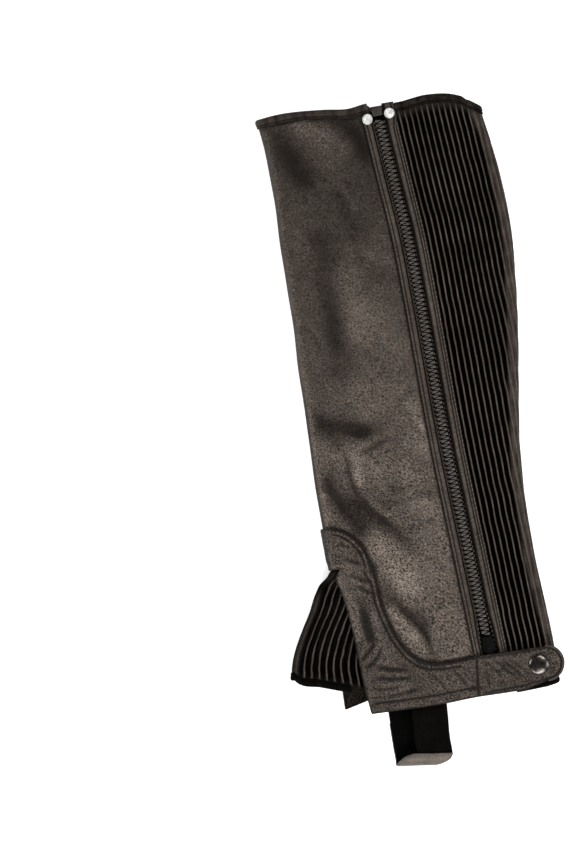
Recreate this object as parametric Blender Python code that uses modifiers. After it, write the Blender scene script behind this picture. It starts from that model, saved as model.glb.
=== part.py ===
"""A ribbed-back leather half chap, laid flat with its outer side up.

One half chap for the lower leg: a leather main panel wraps the shin, a ribbed
stretch panel wraps the calf, and a zip joins the two on the outer side. Metres,
+Z up, +Y towards the knee, +X towards the back of the leg.

The tables are in millimetres. Their x counts from a line beside the zip, and
the part's origin is the middle of its box on the surface that it lies on.
"""

import math
from functools import partial

import bmesh
import bpy
import numpy as np
from mathutils import Matrix, Vector

MM = 0.001
MIDDLE_X = -17.2
MIDDLE_Y = 0.5

# Walls, gaps and round folds
LEATHER = 1.6
OVERLAY = 1.2
STRIP = 1.4
TAPE = 1.0
GUSSET_WALL = 1.4
BINDING = 1.0
THIN_BINDING = 0.7
STRAP = 1.3
GAP = 0.3
BINDING_GAP = 0.5
RIB_RISE = 0.8
SHIN_RADIUS = 7.0
BACK_RADIUS = 7.0
GUSSET_RADIUS = 3.2
CROWN = 2.5
EDGE_FADE = 12.0

# The zip and its facings, across from the chain's centre line
PANEL_TO_CHAIN = 5.0
SLIDER_SPREAD = 1.3
FACING_INNER = 4.4
FACING_OUTER = 11.0
TAPE_HALF = 9.5
TAPE_SPLIT = 0.2
CHAIN_HALF = 3.3
CHAIN_RISE = 0.7
CHAIN_THICK = 2.2
RIBS_START = 14.0

# The strip on the inner side, in from the back fold
STRIP_FRONT = 33.0
STRIP_BACK = 8.5
STRIP_RISE = 9.0
PANEL_UNDER_STRIP = 6.5
STRETCH_UNDER_STRIP = 16.0
STACK = GAP + STRIP

# The front slit that holds the gusset
NOTCH_Y = -92.5
BETWEEN_LAYERS_Z = 8.0
UNDER_FLAP = 6.5
GUSSET_BINDING = 5.0
BOUND_SHARE = 0.93


class Table:
    """Rows of numbers under named columns, read by smooth interpolation."""

    def __init__(self, columns, rows):
        values = np.array(sorted(rows), float)
        self.at = values[:, 0]
        self.columns = {}
        for number, name in enumerate(columns[1:], 1):
            heights = values[:, number]
            slopes = np.gradient(heights, self.at)
            self.columns[name] = (heights, slopes)

    def read(self, name, where):
        """The column's value there, on a cubic through the rows."""
        heights, slopes = self.columns[name]
        where = min(max(where, self.at[0]), self.at[-1])
        row = int(np.clip(np.searchsorted(self.at, where) - 1, 0, len(self.at) - 2))
        width = self.at[row + 1] - self.at[row]
        t = (where - self.at[row]) / width
        start = (1 + 2 * t) * (1 - t) ** 2 * heights[row]
        end = t * t * (3 - 2 * t) * heights[row + 1]
        leaving = t * (1 - t) ** 2 * width * slopes[row]
        arriving = t * t * (t - 1) * width * slopes[row + 1]
        return start + end + leaving + arriving


# Sections across the leg. Below the notch the shin line only guides the two flaps.
SECTIONS = Table(
    ("y", "shin", "zip", "back"),
    [
        (249, -80.5, 9.0, 85.0),
        (223, -78.4, 10.5, 87.2),
        (205, -78.0, 11.7, 90.0),
        (185, -78.0, 13.0, 92.1),
        (148, -79.6, 15.6, 93.9),
        (97, -80.2, 16.6, 90.3),
        (56, -82.2, 16.8, 84.9),
        (17, -83.1, 16.9, 78.4),
        (-23, -84.8, 17.4, 72.2),
        (-59, -85.0, 18.5, 69.2),
        (-84, -84.8, 19.4, 68.4),
        (-93.4, -84.8, 19.8, 68.4),
        (-94.4, -85.4, 19.9, 68.4),
        (-97, -88.0, 19.9, 68.4),
        (-101, -92.0, 20.0, 68.4),
        (-110, -96.0, 20.3, 68.5),
        (-150, -100.0, 21.6, 70.2),
        (-176, -101.0, 22.5, 70.9),
        (-205, -102.0, 23.4, 69.5),
    ],
)

# Where the edges lie along the leg, by their place across it
OUTER_TOP = Table(
    ("x", "y"),
    [
        (-81, 249.0),
        (-58, 250.0),
        (-29, 247.4),
        (-12, 245.0),
        (3, 246.5),
        (23, 243.5),
        (50, 245.3),
        (66, 243.0),
        (79, 237.5),
    ],
)
OUTER_BOTTOM = Table(("x", "y"), [(-73, -203.3), (-20, -205), (9, -204.3), (39, -204.9), (62, -204.3)])
INNER_TOP = Table(("x", "y"), [(-75, 247.5), (-60, 245.5), (0, 244.5), (50, 242.5), (79, 237)])
INNER_BOTTOM = Table(
    ("x", "y"),
    [
        (-92, -198.0),
        (-66, -192.3),
        (-34, -186.2),
        (-9, -184.9),
        (19, -188.0),
        (39, -191.5),
        (52, -198.3),
        (62, -202.5),
    ],
)
SHIN_TOP_Y = 249.0
SHIN_BOTTOM_Y = -201.0
BACK_TOP_Y = 231.0

# The two flaps' free front edges beside the gusset
FLAP_FRONT = Table(
    ("y", "outer", "inner"),
    [
        (-92.5, -77.9, -77.9),
        (-99, -82.0, -82.8),
        (-107, -80.3, -87.0),
        (-120, -78.0, -88.3),
        (-147, -76.0, -89.8),
        (-176, -75.2, -91.0),
        (-206, -72.6, -92.2),
    ],
)

# The gusset's own fold, and its lower edge by place across
GUSSET_FOLD = Table(
    ("y", "x"),
    [
        (-93.5, -85.2),
        (-97, -88.0),
        (-101, -93.5),
        (-107.5, -98.4),
        (-121, -105.5),
        (-133, -113.0),
        (-151, -122.7),
        (-160, -125.8),
        (-172, -127.6),
    ],
)
GUSSET_BOTTOM = Table(("x", "y"), [(-127, -165), (-121, -171), (-105, -176.4), (-92, -181), (-67, -189)])

# Soft folds in the upper layer, from one end to the other
FOLDS = [
    # x0, y0, x1, y1, width, height
    (-49, 239, -27, 210, 9, 2.2),
    (-63, 224, -50, 195, 13, -2.0),
    (-10, 226, -8, 190, 14, -1.6),
    (-41, 114, -51, 55, 12, -2.6),
    (-17, 108, -32, 78, 12, 2.0),
    (-74, 22, -58, -2, 10, -1.8),
    (-74, -28, -56, -65, 8, -2.4),
    (-56, -42, -25, -83, 9, -2.0),
    (-41, -123, -24, -143, 7, -2.0),
    (-22, -147, -19, -166, 6, -1.8),
]

# Rows along the leg that every sheet shares, so that layers lie parallel
ROWS = [250, 242, 232, 220, 202, 180, 155, 130, 105, 80, 55, 30, 5, -20, -40, -58, -75, -93.2]
ROWS += [-97, -102, -112, -130, -150, -164, -177, -189, -197, -205]
TOP_STRETCH_Y = 220.0
BOTTOM_STRETCH_Y = -150.0

# Columns across the main panel's outer layer, from the zip edge to the shin
OUTER_COLUMNS = [0, 0.06, 0.14, 0.23, 0.32, 0.41, 0.5, 0.59, 0.68, 0.77, 0.86, 0.94, 1]
FOLD_ANGLES = [30, 60, 90, 120, 150]

# Columns across its inner layer: shares up to 1, then millimetres over the rise
INNER_COLUMNS = [0, 0.12, 0.35, 0.6, 0.82, 1, 4.5, 8]

# Columns across the stretch panel's ribs
STRETCH_COLUMNS = [0, 0.2, 0.4, 0.6, 0.8, 0.9, 1]


def smooth(t):
    """0 below 0, 1 above 1, and an even ramp between."""
    t = min(max(t, 0.0), 1.0)
    return t * t * (3 - 2 * t)


def mix(a, b, t):
    return a + (b - a) * t


def lift(y):
    """How far the lower layer stands off the surface, over what lies under it."""
    guard = (GAP + LEATHER) * smooth((-42 - y) / 16)
    patch = 1.4 * smooth((-112 - y) / 22)
    binding = (BINDING_GAP + BINDING) * smooth((y - 224) / 12)
    return guard + patch + binding


def shin_shoulder(y):
    return SECTIONS.read("shin", y) + SHIN_RADIUS


def back_shoulder(y):
    return SECTIONS.read("back", y) - BACK_RADIUS


def zip_x(y):
    return SECTIONS.read("zip", y)


def spread(y):
    """How much wider the zip's opening is round the slider, on each side."""
    return SLIDER_SPREAD * smooth((-138 - y) / 24)


def strip_edge(y):
    return SECTIONS.read("back", y) - STRIP_FRONT


def outer_x(place, y):
    """Across the main panel's outer layer, from the zip's edge at 0 to the shin at 1."""
    return mix(zip_x(y) - PANEL_TO_CHAIN - spread(y), shin_shoulder(y), place)


def inner_x(place, y):
    """Across its inner layer: from the shin at 0 to the rise at 1, then in millimetres."""
    rise = strip_edge(y) - STRIP_RISE
    if place > 1:
        return rise + place - 1
    return mix(shin_shoulder(y), rise, place)


def stretch_x(place, y):
    """Across the stretch panel's ribs, from beside the facing at 0 to the back fold at 1."""
    return mix(zip_x(y) + RIBS_START, back_shoulder(y), place)


def fold_height(x, y):
    """The sum of the soft folds at a place on the upper layer."""
    total = 0.0
    for x0, y0, x1, y1, width, height in FOLDS:
        along = ((x - x0) * (x1 - x0) + (y - y0) * (y1 - y0)) / ((x1 - x0) ** 2 + (y1 - y0) ** 2)
        along = min(max(along, 0.0), 1.0)
        away = math.hypot(x - mix(x0, x1, along), y - mix(y0, y1, along))
        total += height * math.exp(-((away / width) ** 2))
    return total


def outer_z(x, y):
    """The upper layer's top face."""
    left = shin_shoulder(y)
    right = back_shoulder(y)
    across = min(max((x - left) / (right - left), 0.0), 1.0)
    shin_top = lift(y) + 2 * SHIN_RADIUS
    back_top = max(lift(y), STACK) + 2 * BACK_RADIUS - RIB_RISE
    crown = CROWN * (1 - math.cos(2 * math.pi * across)) / 2
    from_edge = smooth(min(x - left, right - x) / EDGE_FADE)
    return mix(shin_top, back_top, smooth(across)) + crown + from_edge * fold_height(x, y)


def outer_normal(x, y):
    step = 0.5
    slope_x = (outer_z(x + step, y) - outer_z(x - step, y)) / (2 * step)
    slope_y = (outer_z(x, y + step) - outer_z(x, y - step)) / (2 * step)
    return Vector((-slope_x, -slope_y, 1)).normalized()


def outer_point(x, y, out=0.0):
    """A point on the upper layer, moved out along its normal."""
    return Vector((x, y, outer_z(x, y))) + outer_normal(x, y) * out


def shin_point(angle, y, out=0.0):
    """A point on the shin fold, from 0 on top to 180 underneath."""
    turn = math.radians(angle)
    radius = SHIN_RADIUS + out
    middle = lift(y) + SHIN_RADIUS
    return Vector((shin_shoulder(y) - radius * math.sin(turn), y, middle + radius * math.cos(turn)))


def back_point(angle, y, out=0.0):
    """A point on the back fold's ribs, from 0 on top to 180 underneath."""
    turn = math.radians(angle)
    radius = BACK_RADIUS + out
    middle = max(lift(y), STACK) + BACK_RADIUS
    return Vector((back_shoulder(y) + radius * math.sin(turn), y, middle + radius * math.cos(turn)))


def inner_z(x, y):
    """The lower layer's underside, which rises over the strip at its back edge."""
    return max(lift(y), STACK * smooth((x - strip_edge(y) + STRIP_RISE) / (STRIP_RISE - 2)))


def inner_point(x, y, out=0.0):
    return Vector((x, y, inner_z(x, y) - out))


def row_y(row, top, bottom):
    """A shared row's y on a column that runs between these two edges."""
    if row > TOP_STRETCH_Y:
        share = (row - TOP_STRETCH_Y) / (ROWS[0] - TOP_STRETCH_Y)
        return mix(TOP_STRETCH_Y, top, share)
    if row < BOTTOM_STRETCH_Y:
        share = (row - BOTTOM_STRETCH_Y) / (ROWS[-1] - BOTTOM_STRETCH_Y)
        return mix(BOTTOM_STRETCH_Y, bottom, share)
    return row


# Materials, by what each piece is made of: colour, roughness and metallic value
FINISHES = {
    "leather": ((0.043, 0.033, 0.026), 0.42, 0.0),
    "trim_leather": ((0.035, 0.027, 0.021), 0.45, 0.0),
    "ribbed": ((0.020, 0.016, 0.013), 0.6, 0.0),
    "webbing": ((0.006, 0.006, 0.006), 0.85, 0.0),
    "tape": ((0.012, 0.010, 0.009), 0.8, 0.0),
    "coil": ((0.030, 0.026, 0.023), 0.35, 0.0),
    "nickel": ((0.72, 0.72, 0.70), 0.25, 1.0),
    "dark_metal": ((0.05, 0.045, 0.042), 0.22, 1.0),
    "black_enamel": ((0.010, 0.010, 0.010), 0.3, 0.0),
}


def material_for(name, finish):
    """The piece's own material, with its finish's values."""
    colour, roughness, metallic = FINISHES[finish]
    material = bpy.data.materials.new(name)
    material.use_nodes = True
    shader = material.node_tree.nodes["Principled BSDF"]
    shader.inputs["Base Color"].default_value = (*colour, 1)
    shader.inputs["Roughness"].default_value = roughness
    shader.inputs["Metallic"].default_value = metallic
    return material


def to_part(point):
    """From the tables' millimetres to the part's metres."""
    return Vector(((point[0] - MIDDLE_X) * MM, (point[1] - MIDDLE_Y) * MM, point[2] * MM))


def clear_scene():
    for item in list(bpy.data.objects):
        bpy.data.objects.remove(item, do_unlink=True)


def new_collection(name):
    made = bpy.data.collections.new(name)
    bpy.context.scene.collection.children.link(made)
    return made


def add_mesh(name, shape, collection, finish=None):
    """A named object from a bmesh, which is freed."""
    mesh = bpy.data.meshes.new(name)
    shape.to_mesh(mesh)
    shape.free()
    item = bpy.data.objects.new(name, mesh)
    collection.objects.link(item)
    if finish:
        mesh.materials.append(material_for(name, finish))
        mesh.shade_smooth()
        mesh.set_sharp_from_angle(angle=math.radians(40))
    return item


def add_sheet(name, rows, wall, finish, collection):
    """A cloth wall: an open grid of its outside face, with Solidify inwards."""
    shape = bmesh.new()
    grid = [[shape.verts.new(to_part(point)) for point in row] for row in rows]
    for upper, lower in zip(grid, grid[1:]):
        for column in range(len(upper) - 1):
            corners = (upper[column], upper[column + 1], lower[column + 1], lower[column])
            shape.faces.new(corners)
    item = add_mesh(name, shape, collection, finish)
    solid = item.modifiers.new("wall", "SOLIDIFY")
    solid.thickness = wall * MM
    solid.offset = -1
    solid.use_even_offset = True
    return item


def add_rings(name, rings, finish, collection):
    """A closed loft through rings of equal point counts, with capped ends."""
    shape = bmesh.new()
    loops = [[shape.verts.new(to_part(point)) for point in ring] for ring in rings]
    count = len(loops[0])
    for first, second in zip(loops, loops[1:]):
        for place in range(count):
            after = (place + 1) % count
            shape.faces.new((first[place], second[place], second[after], first[after]))
    shape.faces.new(loops[0])
    shape.faces.new(reversed(loops[-1]))
    bmesh.ops.recalc_face_normals(shape, faces=shape.faces)
    return add_mesh(name, shape, collection, finish)


def add_prism(name, outline, low, high, collection, finish=None):
    """A flat outline raised to a solid, as a mesh. Outline and heights in millimetres."""
    curve = bpy.data.curves.new(name, "CURVE")
    curve.dimensions = "2D"
    curve.fill_mode = "BOTH"
    curve.extrude = (high - low) / 2 * MM
    spline = curve.splines.new("POLY")
    spline.points.add(len(outline) - 1)
    spline.use_cyclic_u = True
    for point, (x, y) in zip(spline.points, outline):
        point.co = (x * MM, y * MM, 0, 1)
    guide = bpy.data.objects.new(name + "_outline", curve)
    collection.objects.link(guide)
    graph = bpy.context.evaluated_depsgraph_get()
    mesh = bpy.data.meshes.new_from_object(guide.evaluated_get(graph))
    shape = bmesh.new()
    shape.from_mesh(mesh)
    bmesh.ops.remove_doubles(shape, verts=shape.verts, dist=1e-6)
    bmesh.ops.translate(shape, verts=shape.verts, vec=(0, 0, (low + high) / 2 * MM))
    bmesh.ops.recalc_face_normals(shape, faces=shape.faces)
    bpy.data.objects.remove(guide, do_unlink=True)
    bpy.data.meshes.remove(mesh)
    return add_mesh(name, shape, collection, finish)


def add_turned(name, profile, finish, collection, steps=24):
    """A round piece: a profile of (radius, height), top to bottom, turned by Screw."""
    shape = bmesh.new()
    points = [shape.verts.new((radius * MM, 0, height * MM)) for radius, height in profile]
    for first, second in zip(points, points[1:]):
        shape.edges.new((first, second))
    item = add_mesh(name, shape, collection, finish)
    screw = item.modifiers.new("turn", "SCREW")
    screw.steps = steps
    screw.render_steps = steps
    screw.use_merge_vertices = True
    screw.merge_threshold = 0.00001
    return item


def as_cutter(item):
    item.hide_render = True
    item.display_type = "WIRE"
    return item


def cut(item, operation, tool):
    boolean = item.modifiers.new(operation.lower(), "BOOLEAN")
    boolean.operation = operation
    boolean.object = tool
    return item


def plan(points):
    """An outline from the tables' x and y to millimetres about the part's origin."""
    return [(x - MIDDLE_X, y - MIDDLE_Y) for x, y in points]


def seat(item, x, y, out):
    """Sets a piece on the upper layer, its own Y along the zip and its Z outwards."""
    up = outer_normal(x, y)
    along = Vector((zip_x(y + 20) - zip_x(y), 20, 0))
    along = (along - up * along.dot(up)).normalized()
    across = along.cross(up)
    turn = Matrix((across, along, up)).transposed().to_4x4()
    item.matrix_world = Matrix.Translation(to_part(outer_point(x, y, out))) @ turn
    return item


def panel_column(kind, place, out=0.0):
    """One column of the main panel's surface, from its top edge to its bottom edge."""
    if kind == "fold":
        top = SHIN_TOP_Y
        bottom = mix(SHIN_BOTTOM_Y, -198, place / 180)
        return [shin_point(place, row_y(row, top, bottom), out) for row in ROWS]
    points = []
    for row in ROWS:
        if kind == "outer":
            top = OUTER_TOP.read("y", outer_x(place, 247))
            y = row_y(row, top, OUTER_BOTTOM.read("y", outer_x(place, -203)))
            points.append(outer_point(outer_x(place, y), y, out))
        else:
            top = INNER_TOP.read("y", inner_x(place, 245))
            y = row_y(row, top, INNER_BOTTOM.read("y", inner_x(place, -190)))
            points.append(inner_point(inner_x(place, y), y, out))
    return points


def flap_edge(side):
    """One flap's free front edge, from the notch down."""
    heights = (NOTCH_Y, -95, -99, -103, -110, -120, -147, -176, -206)
    return [(FLAP_FRONT.read(side, y), y) for y in heights]


def notch_outline(side):
    """What lies in front of one flap's free edge, below the notch."""
    edge = flap_edge(side)
    return [(-140, NOTCH_Y), *edge, (edge[-1][0], -230), (-140, -230)]


def make_main_panel(parts, cutters):
    """Leather from the zip's front edge round the shin to the strip on the inner side."""
    columns = [panel_column("outer", place) for place in OUTER_COLUMNS]
    columns += [panel_column("fold", angle) for angle in FOLD_ANGLES]
    under_strip = 1 + STRIP_RISE + PANEL_UNDER_STRIP
    columns += [panel_column("inner", place) for place in [*INNER_COLUMNS, under_strip]]
    rows = list(zip(*columns))
    panel = add_sheet("main_panel", rows, LEATHER, "leather", parts)
    outer_notch = add_prism("notch_outer", plan(notch_outline("outer")), BETWEEN_LAYERS_Z - 0.1, 60, cutters)
    inner_notch = add_prism("notch_inner", plan(notch_outline("inner")), -10, BETWEEN_LAYERS_Z + 0.1, cutters)
    cut(outer_notch, "UNION", as_cutter(inner_notch))
    cut(panel, "DIFFERENCE", as_cutter(outer_notch))


# The ankle guard's curved upper edge on each side, from the shin down
GUARD_OUTER_EDGE = [
    # x, y
    (-79, -60.9),
    (-71.4, -63.6),
    (-64.6, -69),
    (-59.4, -75),
    (-55.9, -81.8),
    (-53.6, -90.8),
    (-51.6, -101.3),
    (-51, -111.5),
    (-50.7, -122.4),
    (-48.6, -132.9),
    (-45.8, -143.5),
    (-40.8, -155.9),
    (-33.4, -166.5),
    (-25.1, -172.1),
    (-13.7, -174.1),
    (14, -173.8),
]
GUARD_INNER_EDGE = [
    # x, y
    (-80, -61),
    (-74, -68),
    (-67.5, -77),
    (-64.5, -87),
    (-61.5, -101),
    (-60.5, -120),
    (-60, -139),
    (-60, -163),
    (-62, -200),
]
TAB_END = (62.0, -188.5)
TAB_END_RADIUS = 14.4


def tab_rise(x):
    """How far the tab stands off the panel: over the facings, the pull and the snap."""
    over_facing = 1.7 * smooth((x - 6) / 5)
    over_pull = 1.5 * smooth((x - 11.5) / 5)
    over_snap = 1.2 * smooth((x - 32) / 14)
    return over_facing + over_pull + over_snap


def make_ankle_guard(parts, cutters):
    """One overlay: a wide outer leg that runs on as the snap tab, and a narrow inner leg."""
    rows_used = [row for row in ROWS if row <= -58]
    skipped = len(ROWS) - len(rows_used)
    out = GAP + LEATHER
    tab_columns = []
    for x in (80, 72, 64, 57, 50, 44, 38, 32, 26, 22):
        column = []
        for row in rows_used:
            y = row_y(row, 0, OUTER_BOTTOM.read("y", x))
            column.append(outer_point(x, y, out + tab_rise(x)))
        tab_columns.append(column)
    leg_columns = []
    for place in OUTER_COLUMNS:
        plain = panel_column("outer", place)[skipped:]
        leg_columns.append([outer_point(p.x, p.y, out + tab_rise(p.x)) for p in plain])
    fold_columns = [panel_column("fold", angle, out)[skipped:] for angle in FOLD_ANGLES]
    inner_columns = [panel_column("inner", place, out)[skipped:] for place in (0, 0.1, 0.2, 0.3)]
    columns = tab_columns + leg_columns + fold_columns + inner_columns
    guard = add_sheet("ankle_guard", list(zip(*columns)), LEATHER, "leather", parts)

    arc = [math.radians(angle) for angle in range(80, -91, -17)]
    middle_x, middle_y = TAB_END
    radius = TAB_END_RADIUS
    tab_end = [(middle_x + radius * math.cos(angle), middle_y + radius * math.sin(angle)) for angle in arc]
    below_tab = [(45, -203.3), (30, -215), (-60, -215)]
    outer_flap = reversed(flap_edge("outer"))
    inner_flap = reversed(flap_edge("inner"))
    outer_outline = [(-140, -60.9), *GUARD_OUTER_EDGE, *tab_end, *below_tab, *outer_flap, (-140, NOTCH_Y)]
    inner_outline = [(-140, -60.9), *GUARD_INNER_EDGE, (-62, -215), *inner_flap, (-140, NOTCH_Y)]
    keep = add_prism("guard_shape", plan(outer_outline), BETWEEN_LAYERS_Z - 0.5, 60, cutters)
    below = add_prism("guard_shape_inner", plan(inner_outline), -10, BETWEEN_LAYERS_Z + 0.5, cutters)
    cut(keep, "UNION", as_cutter(below))
    cut(guard, "INTERSECT", as_cutter(keep))


def back_top(angle):
    """The top edge's y on the back fold."""
    return mix(BACK_TOP_Y + 5, BACK_TOP_Y, math.sin(math.radians(angle)))


def stretch_column(kind, place, out=0.0):
    """One column of the stretch panel's surface. Its ribs stand above the facing's level."""
    if kind == "fold":
        bottom = mix(-204, INNER_BOTTOM.read("y", 62), place / 180)
        return [back_point(place, row_y(row, back_top(place), bottom), out) for row in ROWS]
    points = []
    for row in ROWS:
        if kind == "margin":
            top = OUTER_TOP.read("y", zip_x(245) + place)
            y = row_y(row, top, OUTER_BOTTOM.read("y", zip_x(-204) + place))
            x = zip_x(y) + place + (spread(y) if place < FACING_OUTER else 0)
            points.append(outer_point(x, y, out + rib_rise(place)))
        elif kind == "outer":
            top = OUTER_TOP.read("y", stretch_x(place, 240))
            y = row_y(row, top, OUTER_BOTTOM.read("y", stretch_x(place, -204)))
            points.append(rib_point(stretch_x(place, y), y, out))
        else:
            y = row_y(row, back_top(180) + 0.6 * place, INNER_BOTTOM.read("y", back_shoulder(-202) - place))
            x = back_shoulder(y) - place
            points.append(Vector((x, y, max(lift(y), STACK) - out)))
    return points


def rib_point(x, y, out):
    """A point on the stretch panel's ribs, moved out."""
    return outer_point(x, y, out + RIB_RISE)


def rib_rise(from_zip):
    """The ribs' height above the margin that the facing holds down."""
    return RIB_RISE * smooth((from_zip - RIBS_START + 2) / 2)


def make_stretch_panel(parts):
    """Ribbed panel from the zip's back edge round the calf to the strip."""
    columns = [stretch_column("margin", place) for place in (PANEL_TO_CHAIN, RIBS_START - 2, RIBS_START - 1)]
    columns += [stretch_column("outer", place) for place in STRETCH_COLUMNS]
    columns += [stretch_column("fold", angle) for angle in FOLD_ANGLES]
    hidden = STRETCH_UNDER_STRIP - BACK_RADIUS
    columns += [stretch_column("inner", place) for place in (0, hidden / 2, hidden)]
    columns.reverse()
    add_sheet("stretch_panel", list(zip(*columns)), LEATHER, "ribbed", parts)


def make_ribbon(name, edges, out, wall, ends, finish, parts):
    """A narrow strip that follows the zip, between two distances from its centre line."""
    top, bottom = ends
    heights = [top] + [row for row in ROWS if bottom + 4 < row < top - 4] + [bottom]
    rows = []
    for y in heights:
        rows.append([outer_point(zip_x(y) + edge(y), y, out) for edge in reversed(edges)])
    return add_sheet(name, rows, wall, finish, parts)


def make_zip(parts, cutters):
    """Facings, tapes, chain, separating box, slider and pull."""
    facing_out = GAP + OVERLAY
    under = -(LEATHER + GAP)
    front_facing = (lambda y: -FACING_OUTER, lambda y: -FACING_INNER - spread(y))
    back_facing = (lambda y: FACING_INNER + spread(y), lambda y: FACING_OUTER + 0.5)
    front_tape = (lambda y: -TAPE_HALF, lambda y: -TAPE_SPLIT)
    back_tape = (lambda y: TAPE_SPLIT, lambda y: TAPE_HALF)
    chain = (lambda y: -CHAIN_HALF, lambda y: CHAIN_HALF)
    make_ribbon("zip_facing_front", front_facing, facing_out, OVERLAY, (239.5, -203.5), "trim_leather", parts)
    make_ribbon("zip_facing_back", back_facing, facing_out, OVERLAY, (246, -204), "trim_leather", parts)
    make_ribbon("zip_tape_front", front_tape, under, TAPE, (241, -204), "tape", parts)
    make_ribbon("zip_tape_back", back_tape, under, TAPE, (241, -205), "tape", parts)
    make_ribbon("zip_chain", chain, CHAIN_RISE, CHAIN_THICK, (236.8, -160.2), "coil", parts)

    box_outline = [(-3.7, -2.9), (3.7, -2.9), (3.7, 2.2), (3.0, 2.9), (-3.0, 2.9), (-3.7, 2.2)]
    box = add_prism("zip_box", box_outline, 0, 2.9, parts, "black_enamel")
    seat(box, zip_x(240.3), 240.3, under + GAP + 0.1)

    body_outline = [(-3.4, 6), (3.4, 6), (3.9, 3), (5.0, -5), (4.5, -6), (-4.5, -6), (-5.0, -5), (-3.9, 3)]
    slider = add_prism("zip_slider", body_outline, 0, 3.5, parts, "black_enamel")
    bridge_outline = [(-1.6, 4.5), (1.6, 4.5), (1.6, -3.5), (-1.6, -3.5)]
    bridge = add_prism("slider_bridge", bridge_outline, 3.0, 4.7, cutters)
    cut(slider, "UNION", as_cutter(bridge))
    for piece in (slider, bridge):
        seat(piece, zip_x(-167), -167, under + GAP + 0.1)

    right_side = [(1.6, 2), (2.4, 1), (3.1, -19), (2.2, -21)]
    pull_outline = right_side + [(-x, y) for x, y in reversed(right_side)]
    pull = add_prism("zip_pull", pull_outline, 0, 1.0, parts, "black_enamel")
    seat(pull, zip_x(-173), -173, 2.15)


def make_strip(parts):
    """The flat strip on the inner side, over the edges of both panels."""
    places = (STRIP_FRONT, 21.0, STRIP_BACK)
    rows = []
    for row in ROWS:
        points = []
        for place in places:
            top = mix(243.5, 237, smooth((STRIP_FRONT - place) / (STRIP_FRONT - STRIP_BACK)))
            low = INNER_BOTTOM.read("y", SECTIONS.read("back", -197) - place)
            y = row_y(row, top, low)
            level = max(lift(y), STACK) - STACK
            points.append(Vector((SECTIONS.read("back", y) - place, y, level)))
        rows.append(points)
    add_sheet("inner_strip", rows, STRIP, "trim_leather", parts)


def bound_edge(name, stations, towards, depth, sheet_wall, wall, finish, parts):
    """A binding folded over an edge. Each station is (point function, edge y)."""
    rings = []
    for point, edge in stations:
        far = edge - towards * depth
        over = edge + towards * (BINDING_GAP + wall)
        near = edge + towards * BINDING_GAP
        outside = BINDING_GAP + wall
        inside = -(sheet_wall + BINDING_GAP)
        skin = [(far, outside), (over, outside), (over, inside - wall), (far, inside - wall)]
        folded = [(far, inside), (near, inside), (near, BINDING_GAP), (far, BINDING_GAP)]
        rings.append([point(y, out) for y, out in skin + folded])
    return add_rings(name, rings, finish, parts)


def make_bindings(parts):
    """Bound edges at the top of both panels and at the bottom of the stretch panel."""
    leather = []
    for place in OUTER_COLUMNS:
        x = outer_x(place, 247)
        leather.append((partial(outer_point, x), OUTER_TOP.read("y", x)))
    for angle in FOLD_ANGLES:
        leather.append((partial(shin_point, angle), SHIN_TOP_Y))
    for place in [*INNER_COLUMNS, 1 + STRIP_RISE - 0.5]:
        x = inner_x(place, 243)
        leather.append((partial(inner_point, x), INNER_TOP.read("y", x)))
    bound_edge("top_binding_leather", leather, 1, 4.6, LEATHER, BINDING, "trim_leather", parts)

    stretch_top = []
    for place in STRETCH_COLUMNS:
        x = stretch_x(place, 240)
        stretch_top.append((partial(rib_point, x), OUTER_TOP.read("y", x)))
    for angle in [*FOLD_ANGLES, 180]:
        stretch_top.append((partial(back_point, angle), back_top(angle)))
    bound_edge("top_binding_stretch", stretch_top, 1, 4.6, LEATHER, BINDING, "trim_leather", parts)

    bottom = []
    for place in STRETCH_COLUMNS:
        x = stretch_x(place, -203)
        bottom.append((partial(rib_point, x), OUTER_BOTTOM.read("y", x)))
    for angle in FOLD_ANGLES:
        low = mix(-204, INNER_BOTTOM.read("y", 62), angle / 180)
        bottom.append((partial(back_point, angle), low))
    bound_edge("bottom_binding", bottom, -1, 5.0, LEATHER, BINDING, "webbing", parts)


def gusset_shoulder(y):
    return GUSSET_FOLD.read("x", y) + GUSSET_RADIUS


def gusset_floor(x, y):
    """The gusset's lower limb: it lies on the inner flap and comes down in front of it."""
    front = FLAP_FRONT.read("inner", y)
    over_flap = (lift(y) + LEATHER + GAP + 0.05) * smooth((x - front + 14) / 11)
    over_binding = (BINDING_GAP + THIN_BINDING) * smooth((-138 - y) / 18)
    return max(over_flap, over_binding)


def gusset_top(x, y):
    """The gusset's upper limb: it rises from its fold to lie under the outer flap."""
    shoulder = gusset_shoulder(y)
    tucked = outer_z(x, y) - LEATHER - GAP - 0.1
    risen = smooth((x - shoulder) / max(FLAP_FRONT.read("outer", y) - 2 - shoulder, 1.0))
    return mix(gusset_floor(shoulder, y) + 2 * GUSSET_RADIUS, tucked, risen)


def gusset_point(kind, place, y, out=0.0):
    """A point on the gusset: its upper limb, its fold (by angle) or its lower limb."""
    shoulder = gusset_shoulder(y)
    if kind == "upper":
        x = mix(FLAP_FRONT.read("outer", y) + UNDER_FLAP, shoulder, place)
        return Vector((x, y, gusset_top(x, y) + out))
    if kind == "lower":
        x = mix(shoulder, FLAP_FRONT.read("inner", y) + UNDER_FLAP, place)
        return Vector((x, y, gusset_floor(x, y) - out))
    turn = math.radians(place)
    radius = GUSSET_RADIUS + out
    middle = gusset_floor(shoulder, y) + GUSSET_RADIUS
    return Vector((shoulder - radius * math.sin(turn), y, middle + radius * math.cos(turn)))


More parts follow.
